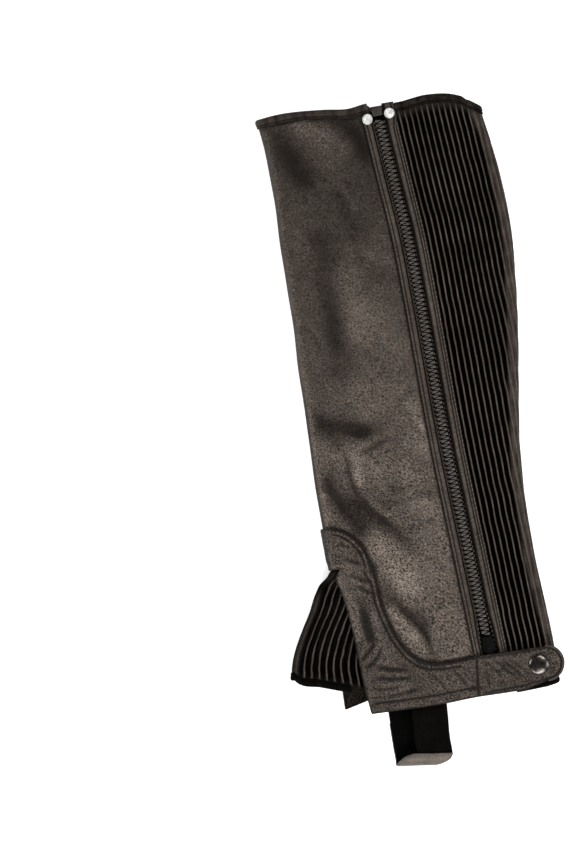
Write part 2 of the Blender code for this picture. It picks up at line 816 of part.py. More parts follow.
def gusset_edge(kind, place):
    """The gusset's lower edge on one column."""
    if kind == "upper":
        return GUSSET_BOTTOM.read("y", mix(-67.5, -122, place))
    if kind == "lower":
        return GUSSET_BOTTOM.read("y", mix(-122, -85, place))
    return mix(-170.2, -168.2, math.sin(math.radians(place)))


def make_gusset(parts):
    """The folded ribbed gusset in the front slit, and its bound lower edge."""
    top = NOTCH_Y - 1.3
    shares = [0, 0.06, 0.12, 0.22, 0.36, 0.52, 0.7, BOUND_SHARE, 1]
    places = [("upper", place) for place in (0, 0.12, 0.3, 0.5, 0.75, 1)]
    places += [("fold", angle) for angle in (30, 60, 90, 120, 150)]
    places += [("lower", place) for place in (0, 0.3, 0.6, 0.8, 1)]
    rows = []
    for share in shares:
        row = []
        for kind, place in places:
            bound = gusset_edge(kind, place) + GUSSET_BINDING
            y = mix(top, bound, share / BOUND_SHARE) if share < 1 else bound - GUSSET_BINDING
            row.append(gusset_point(kind, place, y))
        rows.append(row)
    add_sheet("gusset", rows, GUSSET_WALL, "ribbed", parts)

    stations = []
    for kind, place in [("upper", 0.2), ("upper", 0.35), *places[3:-2]]:
        stations.append((partial(gusset_point, kind, place), gusset_edge(kind, place)))
    bound_edge("gusset_binding", stations, -1, GUSSET_BINDING, GUSSET_WALL, THIN_BINDING, "webbing", parts)


# The foot strap is a flat loop, which crosses over at its turn: each edge's x by angle
STRAP_HALF = 13.4
STRAP_TURN = [
    (0, -52.0, -18.6),
    (30, -57.5, -21.0),
    (60, -60.0, -26.0),
    (90, -60.6, -30.5),
    (120, -60.6, -33.0),
    (150, -60.3, -33.4),
    (180, -60.2, -33.4),
]
STRAP_TURN_LEFT_Y = -239.3
STRAP_TURN_RIGHT_Y = -243.6
STRAP_LOOP_RADIUS = 4.7
STRAP_LOW_Z = 2.15

# The sleeve's stations: from the top of the loop's turn to well up its underside
SLEEVE_FIRST = 6
SLEEVE_LAST = 16


def strap_stations():
    """(left edge, right edge, z, outward direction) along the loop, to the patch."""
    top_z = STRAP_LOW_Z + 2 * STRAP_LOOP_RADIUS
    stations = []
    for y, share in ((-187, 0), (-196, 0), (-206, 0), (-214, 0.25), (-222, 0.55), (-231, 0.85)):
        lowest = min(outer_z(-29.4 + side, max(y, -203)) for side in (-STRAP_HALF, 0, STRAP_HALF))
        under_hem = lowest - LEATHER - GAP - STRAP / 2 - 0.1
        x = mix(-29.4, -31.5, share)
        stations.append(((x - STRAP_HALF, y), (x + STRAP_HALF, y), mix(under_hem, top_z, share), 0.0))
    stations.append(((-46.0, -238.2), (-17.8, -242.6), top_z, 0.0))
    for angle, left, right in STRAP_TURN:
        turn = math.radians(angle)
        down = STRAP_LOOP_RADIUS * math.sin(turn)
        z = STRAP_LOW_Z + STRAP_LOOP_RADIUS + STRAP_LOOP_RADIUS * math.cos(turn)
        stations.append(((left, STRAP_TURN_LEFT_Y - down), (right, STRAP_TURN_RIGHT_Y - down), z, angle))
    for y in (-234, -226, -214, -200, -186, -170, -153):
        x = mix(-47, -46, (y + 236) / 83)
        stations.append(((x - STRAP_HALF, y), (x + STRAP_HALF, y), STRAP_LOW_Z, 180.0))
    return stations


def strap_band(stations, start, wall, wider, name, finish, parts):
    """A flat band along the stations: its inner face lies start out from their line."""
    rings = []
    for left, right, z, angle in stations:
        turn = math.radians(angle)
        outward = Vector((0, -math.sin(turn), math.cos(turn)))
        near = outward * start
        far = outward * (start + wall)
        left_edge = Vector((left[0] - wider, left[1], z))
        right_edge = Vector((right[0] + wider, right[1], z))
        rings.append([left_edge + near, right_edge + near, right_edge + far, left_edge + far])
    return add_rings(name, rings, finish, parts)


def make_foot_strap(parts):
    """The elastic loop under the foot, its leather sleeve, and the patch that holds it."""
    stations = strap_stations()
    strap_band(stations, -STRAP / 2, STRAP, 0.0, "foot_strap", "webbing", parts)
    sleeve = stations[SLEEVE_FIRST : SLEEVE_LAST + 1]
    strap_band(sleeve, STRAP / 2 + GAP, OVERLAY, 0.6, "strap_sleeve", "leather", parts)
    patch_outline = [(-59, -151), (-32.5, -151), (-32.5, -177.5), (-59, -177.5)]
    add_prism("strap_patch", plan(patch_outline), 0, OVERLAY, parts, "leather")


SNAP = (57.1, -188.6)
RIVETS = {"rivet_front": (1.5, 236.0), "rivet_back": (18.3, 237.6)}


def make_metal(parts):
    """Two rivet caps beside the top of the zip, and the snap through the tab."""
    rivet_profile = [(0, 1.5), (1.8, 1.4), (3.1, 1.1), (3.8, 0.6), (4.0, 0), (0, 0)]
    for name, (x, y) in RIVETS.items():
        rivet = add_turned(name, rivet_profile, "nickel", parts)
        seat(rivet, x, y, 2 * GAP + OVERLAY + 0.05)

    cap_profile = [(0, 2.2), (2.4, 2.1), (4.6, 1.7), (6.3, 1.1), (7.2, 0.5), (7.4, 0), (0, 0)]
    cap = add_turned("snap_cap", cap_profile, "dark_metal", parts, 28)
    seat(cap, *SNAP, GAP + tab_rise(SNAP[0]) + LEATHER + GAP + 0.05)

    socket_profile = [(0, 2.2), (6.0, 2.2), (6.0, 0), (3.4, 0), (3.4, 1.9), (0, 1.9)]
    socket = add_turned("snap_socket", socket_profile, "dark_metal", parts)
    seat(socket, *SNAP, tab_rise(SNAP[0]) - 2.25)

    stud_profile = [(0, 2.8), (2.8, 2.8), (3.0, 2.3), (2.6, 1.6), (2.6, 0.8), (6.0, 0.8), (6.0, 0), (0, 0)]
    stud = add_turned("snap_stud", stud_profile, "dark_metal", parts)
    seat(stud, *SNAP, RIB_RISE + GAP + 0.05)


def main():
    clear_scene()
    parts = new_collection("half_chap")
    cutters = new_collection("cutters")
    make_main_panel(parts, cutters)
    make_ankle_guard(parts, cutters)
    make_stretch_panel(parts)
    make_zip(parts, cutters)
    make_strip(parts)
    make_bindings(parts)
    make_gusset(parts)
    make_foot_strap(parts)
    make_metal(parts)
    bpy.context.view_layer.update()


main()
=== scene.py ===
"""The looks of a ribbed-back leather half chap, laid flat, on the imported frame.

Every sheet is meshed again, finer, on the form of its solid: the same tables in
millimetres give its surface, and creases, ribs, seams and stitches are set on it.
Their x counts from a line beside the zip, and +Y points to the knee end.
"""
import math

import bpy
import numpy as np
from mathutils import Matrix, Vector
from mathutils.geometry import delaunay_2d_cdt


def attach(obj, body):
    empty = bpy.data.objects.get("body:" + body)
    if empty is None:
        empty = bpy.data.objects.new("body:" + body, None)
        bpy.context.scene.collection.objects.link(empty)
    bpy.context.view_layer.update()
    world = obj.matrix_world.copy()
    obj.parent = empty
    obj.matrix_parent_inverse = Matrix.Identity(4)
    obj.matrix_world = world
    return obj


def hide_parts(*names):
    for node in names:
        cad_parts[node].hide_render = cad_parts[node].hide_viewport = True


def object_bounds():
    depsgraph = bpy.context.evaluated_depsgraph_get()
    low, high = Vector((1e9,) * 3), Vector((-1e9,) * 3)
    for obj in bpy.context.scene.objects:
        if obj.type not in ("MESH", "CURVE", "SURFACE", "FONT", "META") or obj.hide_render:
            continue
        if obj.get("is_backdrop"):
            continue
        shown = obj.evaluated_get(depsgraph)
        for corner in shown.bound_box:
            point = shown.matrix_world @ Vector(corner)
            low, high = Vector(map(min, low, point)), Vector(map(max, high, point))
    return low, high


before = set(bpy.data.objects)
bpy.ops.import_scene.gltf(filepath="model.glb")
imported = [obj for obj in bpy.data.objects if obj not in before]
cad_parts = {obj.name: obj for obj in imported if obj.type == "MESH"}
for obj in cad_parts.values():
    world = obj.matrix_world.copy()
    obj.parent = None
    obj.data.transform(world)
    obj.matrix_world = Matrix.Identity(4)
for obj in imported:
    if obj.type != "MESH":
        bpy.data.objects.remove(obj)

CAD_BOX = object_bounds()
MM = 0.001
MIDDLE_X = -17.2
MIDDLE_Y = 0.5

# Walls, gaps and round folds, as in the solids
LEATHER = 1.6
OVERLAY = 1.2
STRIP = 1.4
TAPE = 1.0
GUSSET_WALL = 1.4
BINDING = 1.0
THIN_BINDING = 0.7
STRAP = 1.3
GAP = 0.3
BINDING_GAP = 0.5
RIB_RISE = 0.8
SHIN_RADIUS = 7.0
BACK_RADIUS = 7.0
GUSSET_RADIUS = 3.2
CROWN = 2.5
EDGE_FADE = 12.0
SHIN_TURN = math.pi * SHIN_RADIUS / 2
GUSSET_TURN = math.pi * GUSSET_RADIUS / 2

# The zip and its facings, across from the chain's centre line
PANEL_TO_CHAIN = 5.0
SLIDER_SPREAD = 1.3
FACING_OUTER = 11.0
RIBS_START = 14.0
TOOTH_PITCH = 3.4
CHAIN_LOW = -160.0
CHAIN_HIGH = 236.5

# The strip on the inner side, in from the back fold
STRIP_FRONT = 33.0
STRIP_BACK = 8.5
STRIP_RISE = 9.0
PANEL_UNDER_STRIP = 6.5
STRETCH_UNDER_STRIP = 16.0
STACK = GAP + STRIP

# The front slit that holds the gusset, and the bindings' depths
NOTCH_Y = -92.5
UNDER_FLAP = 6.5
GUSSET_BINDING = 5.0
BOTTOM_BAND = 5.0
TOP_BAND = 5.6
BAND_STITCH = 1.7

SHIN_TOP_Y = 249.0
BACK_TOP_Y = 231.0
TOP_Y = 240.0
BOTTOM_Y = -203.0
HEM_Y = -204.0

# Ribs: the first crest from the zip or the fold, their pitch, and heights from the sheet's own face
RIB_FIRST = 15.9
RIB_DEPTH = 3.4
RIB_CREST = 0.6
RIB_BACK = -3.4
RIB_PITCH = 4.53
RIB_SQUEEZE = 0.25
GUSSET_LOW_Y = -168.2
GUSSET_FIRST_RIB = 11.2
GUSSET_RIB_PITCH = 5.7

# Stitches
STITCH_PITCH = 2.7
STITCH_SHARE = 0.66
STITCH_WIDTH = 0.55
STITCH_SINK = 0.2
STITCH_RINGS = [(-1, 0.45, -0.42), (-0.72, 0.9, -0.1), (0, 1, 0.06), (0.72, 0.9, -0.1), (1, 0.45, -0.42)]

# Rows of stitches along the zip: across from the chain, top end, level
ZIP_SEAMS = [(-10.55, 237, 1.5), (7.9, 243, 1.5), (10.65, 224, 1.35), (-3.7, 234, -0.9), (3.9, 234, -0.9)]
MARGIN_SEAM = 12.6

# A tooth's outline: across from where the teeth mesh, and along the chain
TOOTH = np.array([
    (-2.95, -1.05), (-0.9, -0.66), (1.4, -0.16), (1.6, 0), (1.4, 0.16), (-0.9, 0.66), (-2.95, 1.05),
])

# Profiles of the metal caps as radius and height, from the rim inwards
RIVET_PROFILE = [
    (3.9, 0), (4.0, 0.15), (4.0, 0.55), (3.85, 0.8), (3.55, 0.95), (3.25, 0.9), (3.1, 0.78), (2.9, 0.78),
    (2.2, 0.92), (1.2, 1.02), (0.3, 1.05), (0.02, 1.05),
]
SNAP_RIM = [(7.2, 0), (7.4, 0.12), (7.42, 0.35), (7.25, 0.62), (6.9, 0.85)]
SNAP_DOME = 1.35

# The photograph's frame on the part, the camera above it, and the floor in metres
PHOTO_TURN = -10.0
PHOTO_MIDDLE = (-80.6, 15.2)
PHOTO_LENGTH = 648.0
CAMERA_HEIGHT = 3.0
PICTURE_PLANE = 14.0
SENSOR = 36.0
FLOOR_HALF = 4.0
FLOOR_Z = -0.0004

# Soft boxes in metres and watts: place, size, power
LIGHTS = {
    "key": ((0.9, 1.4, 1.9), (1.2, 0.7), 30),
    "rim_left": ((-1.9, 0.4, 1.0), (0.7, 1.6), 34),
    "rim_right": ((2.0, -0.2, 1.0), (0.7, 1.6), 20),
    "low_front": ((-0.4, -1.9, 1.3), (1.6, 0.7), 34),
    "low_near": ((0.4, -0.9, 0.9), (0.5, 0.5), 8),
}

# Tones darken below 1 and lighten above it, and a look's light colour is reached at 1 / TONE_SHARE
TONE_MAX = 2.8
TONE_SHARE = 0.22
BACK_TONE = 0.7
BLACK = (0.0, 0.0, 0.0)
SLEEVE_DARK = (0.02, 0.017, 0.014)

# The guard: its tab's round end, its edge on the shin fold, the snap, and the seam across its band
TAB_END = (62.4, -187.9)
TAB_END_RADIUS = 12.8
GUARD_FOLD_Y = -60.9
SNAP_DENT = 8.6
SNAP = (56.7, -188.1)
BAND_SEAM = [(11.6, -175.6), (8.1, -204)]
RIVETS = {"rivet_front": (1.5, 236.0), "rivet_back": (18.3, 237.6)}


class Table:
    """Rows of numbers under named columns, read by smooth interpolation."""

    def __init__(self, columns, rows):
        values = np.array(rows, float)
        values = values[np.argsort(values[:, 0])]
        self.at = values[:, 0]
        self.columns = {}
        for name, heights in zip(columns.split()[1:], values.T[1:]):
            self.columns[name] = (heights, np.gradient(heights, self.at))

    def read(self, name, where):
        """The column's value at each place, on a cubic through the rows."""
        heights, slopes = self.columns[name]
        where = np.clip(where, self.at[0], self.at[-1])
        row = np.clip(np.searchsorted(self.at, where) - 1, 0, len(self.at) - 2)
        width = self.at[row + 1] - self.at[row]
        t = (where - self.at[row]) / width
        start = (1 + 2 * t) * (1 - t) ** 2 * heights[row]
        end = t * t * (3 - 2 * t) * heights[row + 1]
        leaving = t * (1 - t) ** 2 * width * slopes[row]
        arriving = t * t * (t - 1) * width * slopes[row + 1]
        return start + end + leaving + arriving


SECTIONS = Table("y shin zip back", [
    (249, -80.5, 9.0, 85.0), (223, -78.4, 10.5, 87.2), (205, -78.0, 11.7, 90.0), (185, -78.0, 13.0, 92.1),
    (148, -79.6, 15.6, 93.9), (97, -80.2, 16.6, 90.3), (56, -82.2, 16.8, 84.9), (17, -83.1, 16.9, 78.4),
    (-23, -84.8, 17.4, 72.2), (-59, -85.0, 18.5, 69.2), (-84, -84.8, 19.4, 68.4), (-93.4, -84.8, 19.8, 68.4),
    (-94.4, -85.4, 19.9, 68.4), (-97, -88.0, 19.9, 68.4), (-101, -92.0, 20.0, 68.4),
    (-110, -96.0, 20.3, 68.5), (-150, -100.0, 21.6, 70.2), (-176, -101.0, 22.5, 70.9),
    (-205, -102.0, 23.4, 69.5),
])
OUTER_TOP = Table("x y", [
    (-81, 249.0), (-58, 250.0), (-29, 247.4), (-12, 245.0), (3, 246.5), (23, 243.5), (50, 245.3), (66, 243.0),
    (79, 237.5),
])
OUTER_BOTTOM = Table("x y", [(-73, -203.3), (-20, -205), (9, -204.3), (39, -204.9), (62, -204.3)])
INNER_TOP = Table("x y", [(-75, 247.5), (-60, 245.5), (0, 244.5), (50, 242.5), (79, 237)])
INNER_BOTTOM = Table("x y", [
    (-92, -198.0), (-66, -192.3), (-34, -186.2), (-9, -184.9), (19, -188.0), (39, -191.5), (52, -198.3),
    (62, -202.5),
])
FLAP_FRONT = Table("y outer inner", [
    (-92.5, -77.9, -77.9), (-99, -82.0, -82.8), (-107, -80.3, -87.0), (-120, -78.0, -88.3),
    (-147, -76.0, -89.8), (-176, -75.2, -91.0), (-206, -72.6, -92.2),
])
GUSSET_FOLD = Table("y x", [
    (-91, -82.0), (-93.5, -85.2), (-97, -88.0), (-101, -93.5), (-107.5, -98.4), (-121, -105.5),
    (-133, -113.0), (-151, -122.7), (-160, -125.8), (-172, -127.6),
])
GUSSET_BOTTOM = Table("x y", [(-127, -165), (-121, -171), (-105, -176.4), (-92, -181), (-67, -189)])

# Broad soft folds of the upper layer, as in the solids: x0, y0, x1, y1, width, height
FOLDS = [
    (-49, 239, -27, 210, 9, 2.2), (-63, 224, -50, 195, 13, -2.0), (-10, 226, -8, 190, 14, -1.6),
    (-41, 114, -51, 55, 12, -2.6), (-17, 108, -32, 78, 12, 2.0), (-74, 22, -58, -2, 10, -1.8),
    (-74, -28, -56, -65, 8, -2.4), (-56, -42, -25, -83, 9, -2.0), (-41, -123, -24, -143, 7, -2.0),
    (-22, -147, -19, -166, 6, -1.8),
]

# Painted highlights and painted shade: broad patches where the leather's tone is painted lighter or darker:
# x0, y0, x1, y1, width, amount
PAINTED_SHEEN_AND_SHADE = [
    (-49, 238, -20, 218, 7, 0.7), (-37, 120, -31, 84, 11, 0.75), (-16, 136, -3, 129, 4, 0.5),
    (-15, 86, -7, 66, 10, 0.35), (-63, 160, -58, 138, 8, 0.25), (-42, 42, -33, 21, 10, 0.3),
    (-79, -2, -61, -10, 4, 0.45), (-52, -8, -51, -28, 5, 0.95), (-1, 14, 2, -10, 9, 0.55),
    (-44, -18, -20, -28, 12, 0.25), (-15, -49, -4, -59, 7, 0.4), (-82, -37, -81, -54, 4, 0.6),
    (-42, -80, -27, -117, 10, 0.75), (-44, -131, -40, -150, 6, 0.4), (-66, 233, -54, 201, 10, -0.42),
    (-16, 237, -2, 212, 10, -0.5), (-28, 184, -22, 152, 9, -0.3), (-49, 153, -51, 76, 10, -0.36),
    (-82, 19, -38, 8, 9, -0.46), (-77, -26, -58, -64, 7.5, -0.4), (-53, -47, -29, -77, 6, -0.4),
    (-31, -39, -2, -48, 5, -0.3), (-44, -118, -25, -140, 7.5, -0.4),
]

# Finer creases of the upper layer: width, depth, then the points that each runs through
OUTER_CREASES = [
    (5.0, -0.9, (-60, 14), (-46, 7), (-33, 3)),
    (2.2, -0.8, (-56, -9), (-42, -8), (-27, -3), (-15, -1)),
    (3.0, 0.9, (-53, -13), (-52, -26), (-51, -38)),
    (2.4, -0.9, (-57, -6), (-57.5, -20), (-56, -34), (-53, -44)),
    (2.2, -0.8, (-54, -43), (-47, -52), (-34, -67)),
    (2.6, 0.7, (-49, -45), (-40, -54), (-30, -63)),
    (2.5, -0.6, (-80, -25), (-71, -40), (-60, -60)),
    (1.8, -0.5, (-74, -30), (-66, -46), (-58, -66)),
    (2.0, -0.5, (-30, 70), (-28, 63), (-25, 55)),
    (1.8, -0.45, (-13, 143), (-9, 134), (-3, 126)),
    (1.6, -0.4, (-36, 84), (-27, 92), (-20, 101)),
    (2.6, 0.7, (-3, 18), (0, 8), (4, -5)),
    (2.0, -0.5, (-8, 20), (-5, 8), (-2, -6)),
    (2.4, -0.5, (-40, -48), (-20, -50), (-4, -46)),
    (2.0, -0.4, (-30, -68), (-16, -71), (2, -66)),
    (2.2, -0.5, (-20, -92), (-6, -98), (4, -112)),
    (3.0, 0.8, (-46, -126), (-36, -139), (-30, -154), (-28, -164)),
    (2.0, -1.0, (-43, -124), (-30.5, -138), (-22, -153), (-20.5, -170)),
    (1.8, -0.5, (-66, 172), (-58, 160), (-54, 142)),
    (2.2, 0.5, (-30, 196), (-22, 180), (-18, 160)),
    (2.0, -0.4, (-74, 96), (-66, 82), (-64, 64)),
    (1.8, -0.4, (-22, 44), (-12, 38), (0, 40)),
]

# Creases of the ankle guard and its tab
GUARD_CREASES = [
    (3.0, 0.9, (-74, -108), (-73, -124), (-71.5, -150)),
    (3.5, -0.9, (-65, -122), (-64.5, -140), (-63, -156)),
    (1.6, -0.8, (-75, -164), (-68, -158), (-60, -151)),
    (1.6, -0.6, (-73, -170), (-62, -163), (-55, -152)),
    (1.8, -0.8, (-66, -167), (-54, -172), (-38, -176)),
    (1.6, -0.6, (-70, -176), (-52, -180), (-34, -182)),
    (1.4, -0.5, (-72, -184), (-56, -187), (-40, -186)),
    (1.6, -0.5, (-66, -192), (-50, -192), (-30, -190)),
    (1.4, -0.6, (-70, -104), (-62, -111), (-54, -116)),
    (1.4, -0.5, (-72, -96), (-64, -102), (-55, -106)),
    (1.4, -0.5, (-76, -84), (-68, -88), (-60, -92)),
    (1.5, -0.5, (-78, -72), (-72, -75), (-65, -79)),
    (1.3, -0.5, (15, -176), (22, -184), (30, -194)),
    (1.3, -0.6, (21, -176), (29, -184), (39, -196)),
    (1.3, -0.5, (28, -178), (36, -186), (46, -198)),
    (1.2, -0.4, (34, -178), (42, -187), (52, -198)),
    (1.2, -0.5, (17, -178), (17.5, -188), (17, -200)),
    (1.2, -0.35, (20, -179), (20.5, -189), (20, -199)),
    (1.4, -0.4, (-10, -178), (-2, -188), (2, -198)),
    (1.3, -0.4, (-26, -180), (-18, -188), (-14, -198)),
]

# Creases of the inner side, which press into the leather and leave its face flat
INNER_CREASES = [
    (8.0, -0.9, (-62, 190), (-56, 150), (-50, 110), (-48, 70)),
    (11.0, -0.9, (-6, 225), (-14, 180), (-16, 140), (-10, 90)),
    (6.0, -0.7, (-74, 44), (-56, 30), (-36, 26), (-16, 34)),
    (2.4, -0.6, (-70, -18), (-60, -34), (-52, -54)),
    (2.2, -0.6, (-58, -30), (-44, -44), (-34, -64)),
    (4.0, -0.8, (-24, -70), (-14, -96), (-10, -124)),
    (2.0, -0.5, (10, 60), (20, 48), (30, 44)),
    (2.2, -0.5, (-30, -104), (-34, -124), (-30, -146)),
    (3.0, -0.6, (14, -120), (20, -146), (18, -172)),
    (1.8, -0.4, (-20, 12), (-8, 2), (6, 0)),
]

# The ankle guard's curved upper edge on each side, from the shin down, as x and y
GUARD_OUTER_EDGE = [
    (-79, -60.9), (-71.4, -63.6), (-64.6, -69), (-59.4, -75), (-55.9, -81.8), (-53.6, -90.8), (-51.6, -101.3),
    (-51, -111.5), (-50.7, -122.4), (-48.6, -132.9), (-45.8, -143.5), (-40.8, -155.9), (-33.4, -166.5),
    (-25.1, -172.1), (-13.7, -174.1), (14, -173.8),
]
GUARD_INNER_EDGE = [
    (-80, -61), (-74, -68), (-67.5, -77), (-64.5, -87), (-61.5, -101), (-60.5, -120), (-60, -139),
    (-60, -163), (-62, -200),
]

# Sections of the facings (across from the chain, level, tone) and of the strip (in from the back)
# In these sections the tone column paints shade dark in the grooves and at the edges, and leaves the ridges
# light
FRONT_FACING = [
    (-11.4, 0.25, 0.05), (-11.3, 0.9, 0.6), (-11.0, 1.35, 1.1), (-10.6, 1.5, 1.1), (-10.0, 1.35, 0.9),
    (-9.6, 1.0, 0.3), (-9.25, 0.8, 0.12), (-8.9, 1.15, 0.7), (-8.4, 1.45, 1.1), (-7.4, 1.5, 1.15),
    (-6.6, 1.4, 1.0), (-6.2, 1.0, 0.35), (-5.8, 0.4, 0.06), (-5.3, 0.4, 0.06), (-5.0, 1.2, 0.9),
    (-4.7, 1.3, 1.0), (-4.45, 0.8, 0.3), (-4.4, 0.3, 0.1),
]
BACK_FACING = [
    (4.4, 0.3, 0.05), (4.8, 0.55, 0.06), (5.6, 0.6, 0.06), (6.3, 0.8, 0.2), (6.7, 1.35, 0.9),
    (7.3, 1.5, 1.15), (8.4, 1.5, 1.15), (9.0, 1.35, 0.9), (9.35, 0.9, 0.2), (9.65, 0.7, 0.06),
    (9.95, 1.0, 0.5), (10.4, 1.35, 1.05), (10.9, 1.3, 1.0), (11.25, 0.9, 0.3), (11.55, 0.3, 0.05),
]
STRIP_SECTION = [
    (8.5, -0.9, 0.5), (8.7, -0.25, 0.8), (9.3, -0.05, 1.0), (9.9, -0.35, 0.1), (10.6, -0.05, 1.0),
    (13.5, 0, 1.0), (15.7, -0.05, 1.0), (16.4, -0.35, 0.1), (17.1, -0.05, 1.0), (19.0, 0, 1.0),
    (21.5, 0, 1.0), (24.0, 0, 1.0), (25.6, -0.05, 1.0), (26.2, -0.35, 0.1), (26.9, -0.05, 1.0),
    (29.0, 0, 1.0), (30.9, -0.05, 1.0), (31.6, -0.35, 0.1), (32.2, -0.05, 1.0), (32.8, -0.25, 0.8),
    (33.0, -0.9, 0.5),
]
STRIP_ROWS = (9.9, 16.4, 26.2, 31.6)

# The foot strap's loop: angle of its turn, left edge's x, right edge's x
STRAP_HALF = 13.4
STRAP_TURN = [
    (0, -52.0, -18.6), (30, -57.5, -21.0), (60, -60.0, -26.0), (90, -60.6, -30.5), (120, -60.6, -33.0),
    (150, -60.3, -33.4), (180, -60.2, -33.4),
]
STRAP_TURN_LEFT_Y = -239.3
STRAP_TURN_RIGHT_Y = -243.6
STRAP_LOOP_RADIUS = 4.7
STRAP_LOW_Z = 2.15
STRAP_TOP_X = -29.4
STRAP_LOW_X = -31.5
SLEEVE_FIRST = 6
SLEEVE_LAST = 16

# The square patch on the inner side
PATCH_RIGHT = -32.5
PATCH_TOP = -151.0
PATCH_SIZE = 26.5
PATCH_INSET = 2.2


# Small helpers


def smooth(t):
    t = np.clip(t, 0.0, 1.0)
    return t * t * (3 - 2 * t)


def mix(a, b, t):
    return a + (b - a) * t


def grids(*values):
    """Numbers and arrays as arrays of one shape."""
    return np.broadcast_arrays(*(np.asarray(value, float) for value in values))


def stacked(*columns):
    """Columns of one length as rows of points."""
    return np.stack(grids(*columns), axis=-1)


def unit(vectors):
    return vectors / np.linalg.norm(vectors, axis=-1, keepdims=True)


def trough(away, width):
    return np.exp(-((away / width) ** 2))


def waves(x, y, seed, length, count=9):
    """An even, seeded ripple from -1 to 1: plane waves of about one length, in all directions."""
    random = np.random.default_rng(seed)
    total = 0.0
    for number in range(count):
        turn = math.pi * (number + random.uniform(-0.3, 0.3)) / count
        pace = 2 * math.pi / (length * random.uniform(0.7, 1.4))
        total = total + np.sin((x * math.cos(turn) + y * math.sin(turn)) * pace + random.uniform(0, 6.3))
    return total / count


def lengths_along(points):
    """Each point's distance along the line through the points."""
    return np.concatenate([[0], np.cumsum(np.linalg.norm(np.diff(points, axis=0), axis=1))])


def line_distance(x, y, points):
    """How far each place is from a line through the points, and its share along it."""
    points = np.asarray(points, float)
    before = lengths_along(points)
    near = np.full(np.shape(x), np.inf)
    share = np.zeros(np.shape(x))
    for (x0, y0), (x1, y1), start, end in zip(points, points[1:], before, before[1:]):
        along = ((x - x0) * (x1 - x0) + (y - y0) * (y1 - y0)) / (end - start) ** 2
        along = np.clip(along, 0, 1)
        away = np.hypot(x - mix(x0, x1, along), y - mix(y0, y1, along))
        closer = away < near
        near = np.where(closer, away, near)
        share = np.where(closer, mix(start, end, along) / before[-1], share)
    return near, share


def curve(points, step):
    """A smooth curve through the points, as points about step apart."""
    points = np.asarray(points, float)
    at = lengths_along(points)
    table = Table("at x y", [(place, *point) for place, point in zip(at, points)])
    where = np.linspace(0, at[-1], max(2, math.ceil(at[-1] / step) + 1))
    return stacked(table.read("x", where), table.read("y", where))


def straight(points, step):
    """Straight lines through the points, as points about step apart."""
    points = np.asarray(points, float)
    made = [points[:1]]
    for start, end in zip(points, points[1:]):
        count = max(1, math.ceil(np.linalg.norm(end - start) / step))
        made.append(start + (end - start) * np.linspace(0, 1, count + 1)[1:, None])
    return np.concatenate(made)


def humps(x, y, rows):
    """Soft humps and hollows along short lines."""
    total = np.zeros(np.shape(x))
    for x0, y0, x1, y1, width, height in rows:
        away, _ = line_distance(x, y, [(x0, y0), (x1, y1)])
        total = total + height * trough(away, width)
    return total


def creases_height(x, y, creases):
    """Soft troughs and ridges with faint lips, which run out at both ends."""
    total = np.zeros(np.shape(x))
    for width, height, *points in creases:
        low = np.min(points, axis=0) - 4 * width
        high = np.max(points, axis=0) + 4 * width
        near = (x > low[0]) & (x < high[0]) & (y > low[1]) & (y < high[1])
        if not near.any():
            continue
        away, share = line_distance(x[near], y[near], curve(points, 4.0))
        ends = smooth(np.minimum(share, 1 - share) * 3.2)
        total[near] += height * ends * (trough(away, width) - 0.3 * trough(away - 1.9 * width, width))
    return total


# The surfaces, with a distance out along their normals


def lift(y):
    """How far the inner layer stands off the surface, over the guard, the patch and the binding."""
    guard = (GAP + LEATHER) * smooth((-42 - y) / 16)
    patch = 1.4 * smooth((-112 - y) / 22)
    binding = (BINDING_GAP + BINDING) * smooth((y - 224) / 12)
    return guard + patch + binding


def shin_shoulder(y):
    return SECTIONS.read("shin", y) + SHIN_RADIUS


def back_shoulder(y):
    return SECTIONS.read("back", y) - BACK_RADIUS


def zip_x(y):
    return SECTIONS.read("zip", y)


def spread(y):
    return SLIDER_SPREAD * smooth((-138 - y) / 24)


def strip_edge(y):
    return SECTIONS.read("back", y) - STRIP_FRONT


def fold_height(x, y):
    """The broad folds, and the fine creases, which die out before the zip."""
    before_zip = smooth((zip_x(y) - 12 - x) / 10)
    ripple = 0.28 * waves(x, y, 3, 34) + 0.12 * waves(x, y, 4, 13)
    return humps(x, y, FOLDS) + before_zip * (creases_height(x, y, OUTER_CREASES) + ripple)


def outer_z(x, y):
    """The upper layer's top face."""
    left = shin_shoulder(y)
    right = back_shoulder(y)
    across = np.clip((x - left) / (right - left), 0.0, 1.0)
    shin_top = lift(y) + 2 * SHIN_RADIUS
    back_top = np.maximum(lift(y), STACK) + 2 * BACK_RADIUS - RIB_RISE
    crown = CROWN * (1 - np.cos(2 * math.pi * across)) / 2
    from_edge = smooth(np.minimum(x - left, right - x) / EDGE_FADE)
    return mix(shin_top, back_top, smooth(across)) + crown + from_edge * fold_height(x, y)


def outer_place(x, y, out=0.0):
    """Points on the upper layer, moved out along its normal."""
    x, y, out = grids(x, y, out)
    step = 0.4
    slope_x = (outer_z(x + step, y) - outer_z(x - step, y)) / (2 * step)
    slope_y = (outer_z(x, y + step) - outer_z(x, y - step)) / (2 * step)
    return stacked(x, y, outer_z(x, y)) + unit(stacked(-slope_x, -slope_y, 1.0)) * out[..., None]


def on_fold(shoulder, y, middle, radius, turn):
    """Points round a fold: turn is 0 on its top, and above 0 towards +X."""
    return stacked(shoulder + radius * np.sin(turn), y, middle + radius * np.cos(turn))


def shin_x(w, y):
    """The table x of a place on the wrap round the shin, which counts from its fold."""
    return shin_shoulder(y) + np.abs(w) - SHIN_TURN


def shin_wrap(x, y, side):
    """The place on the wrap round the shin of a table x, on side 1 (outer) or -1 (inner)."""
    return side * (np.asarray(x, float) - shin_shoulder(y) + SHIN_TURN)


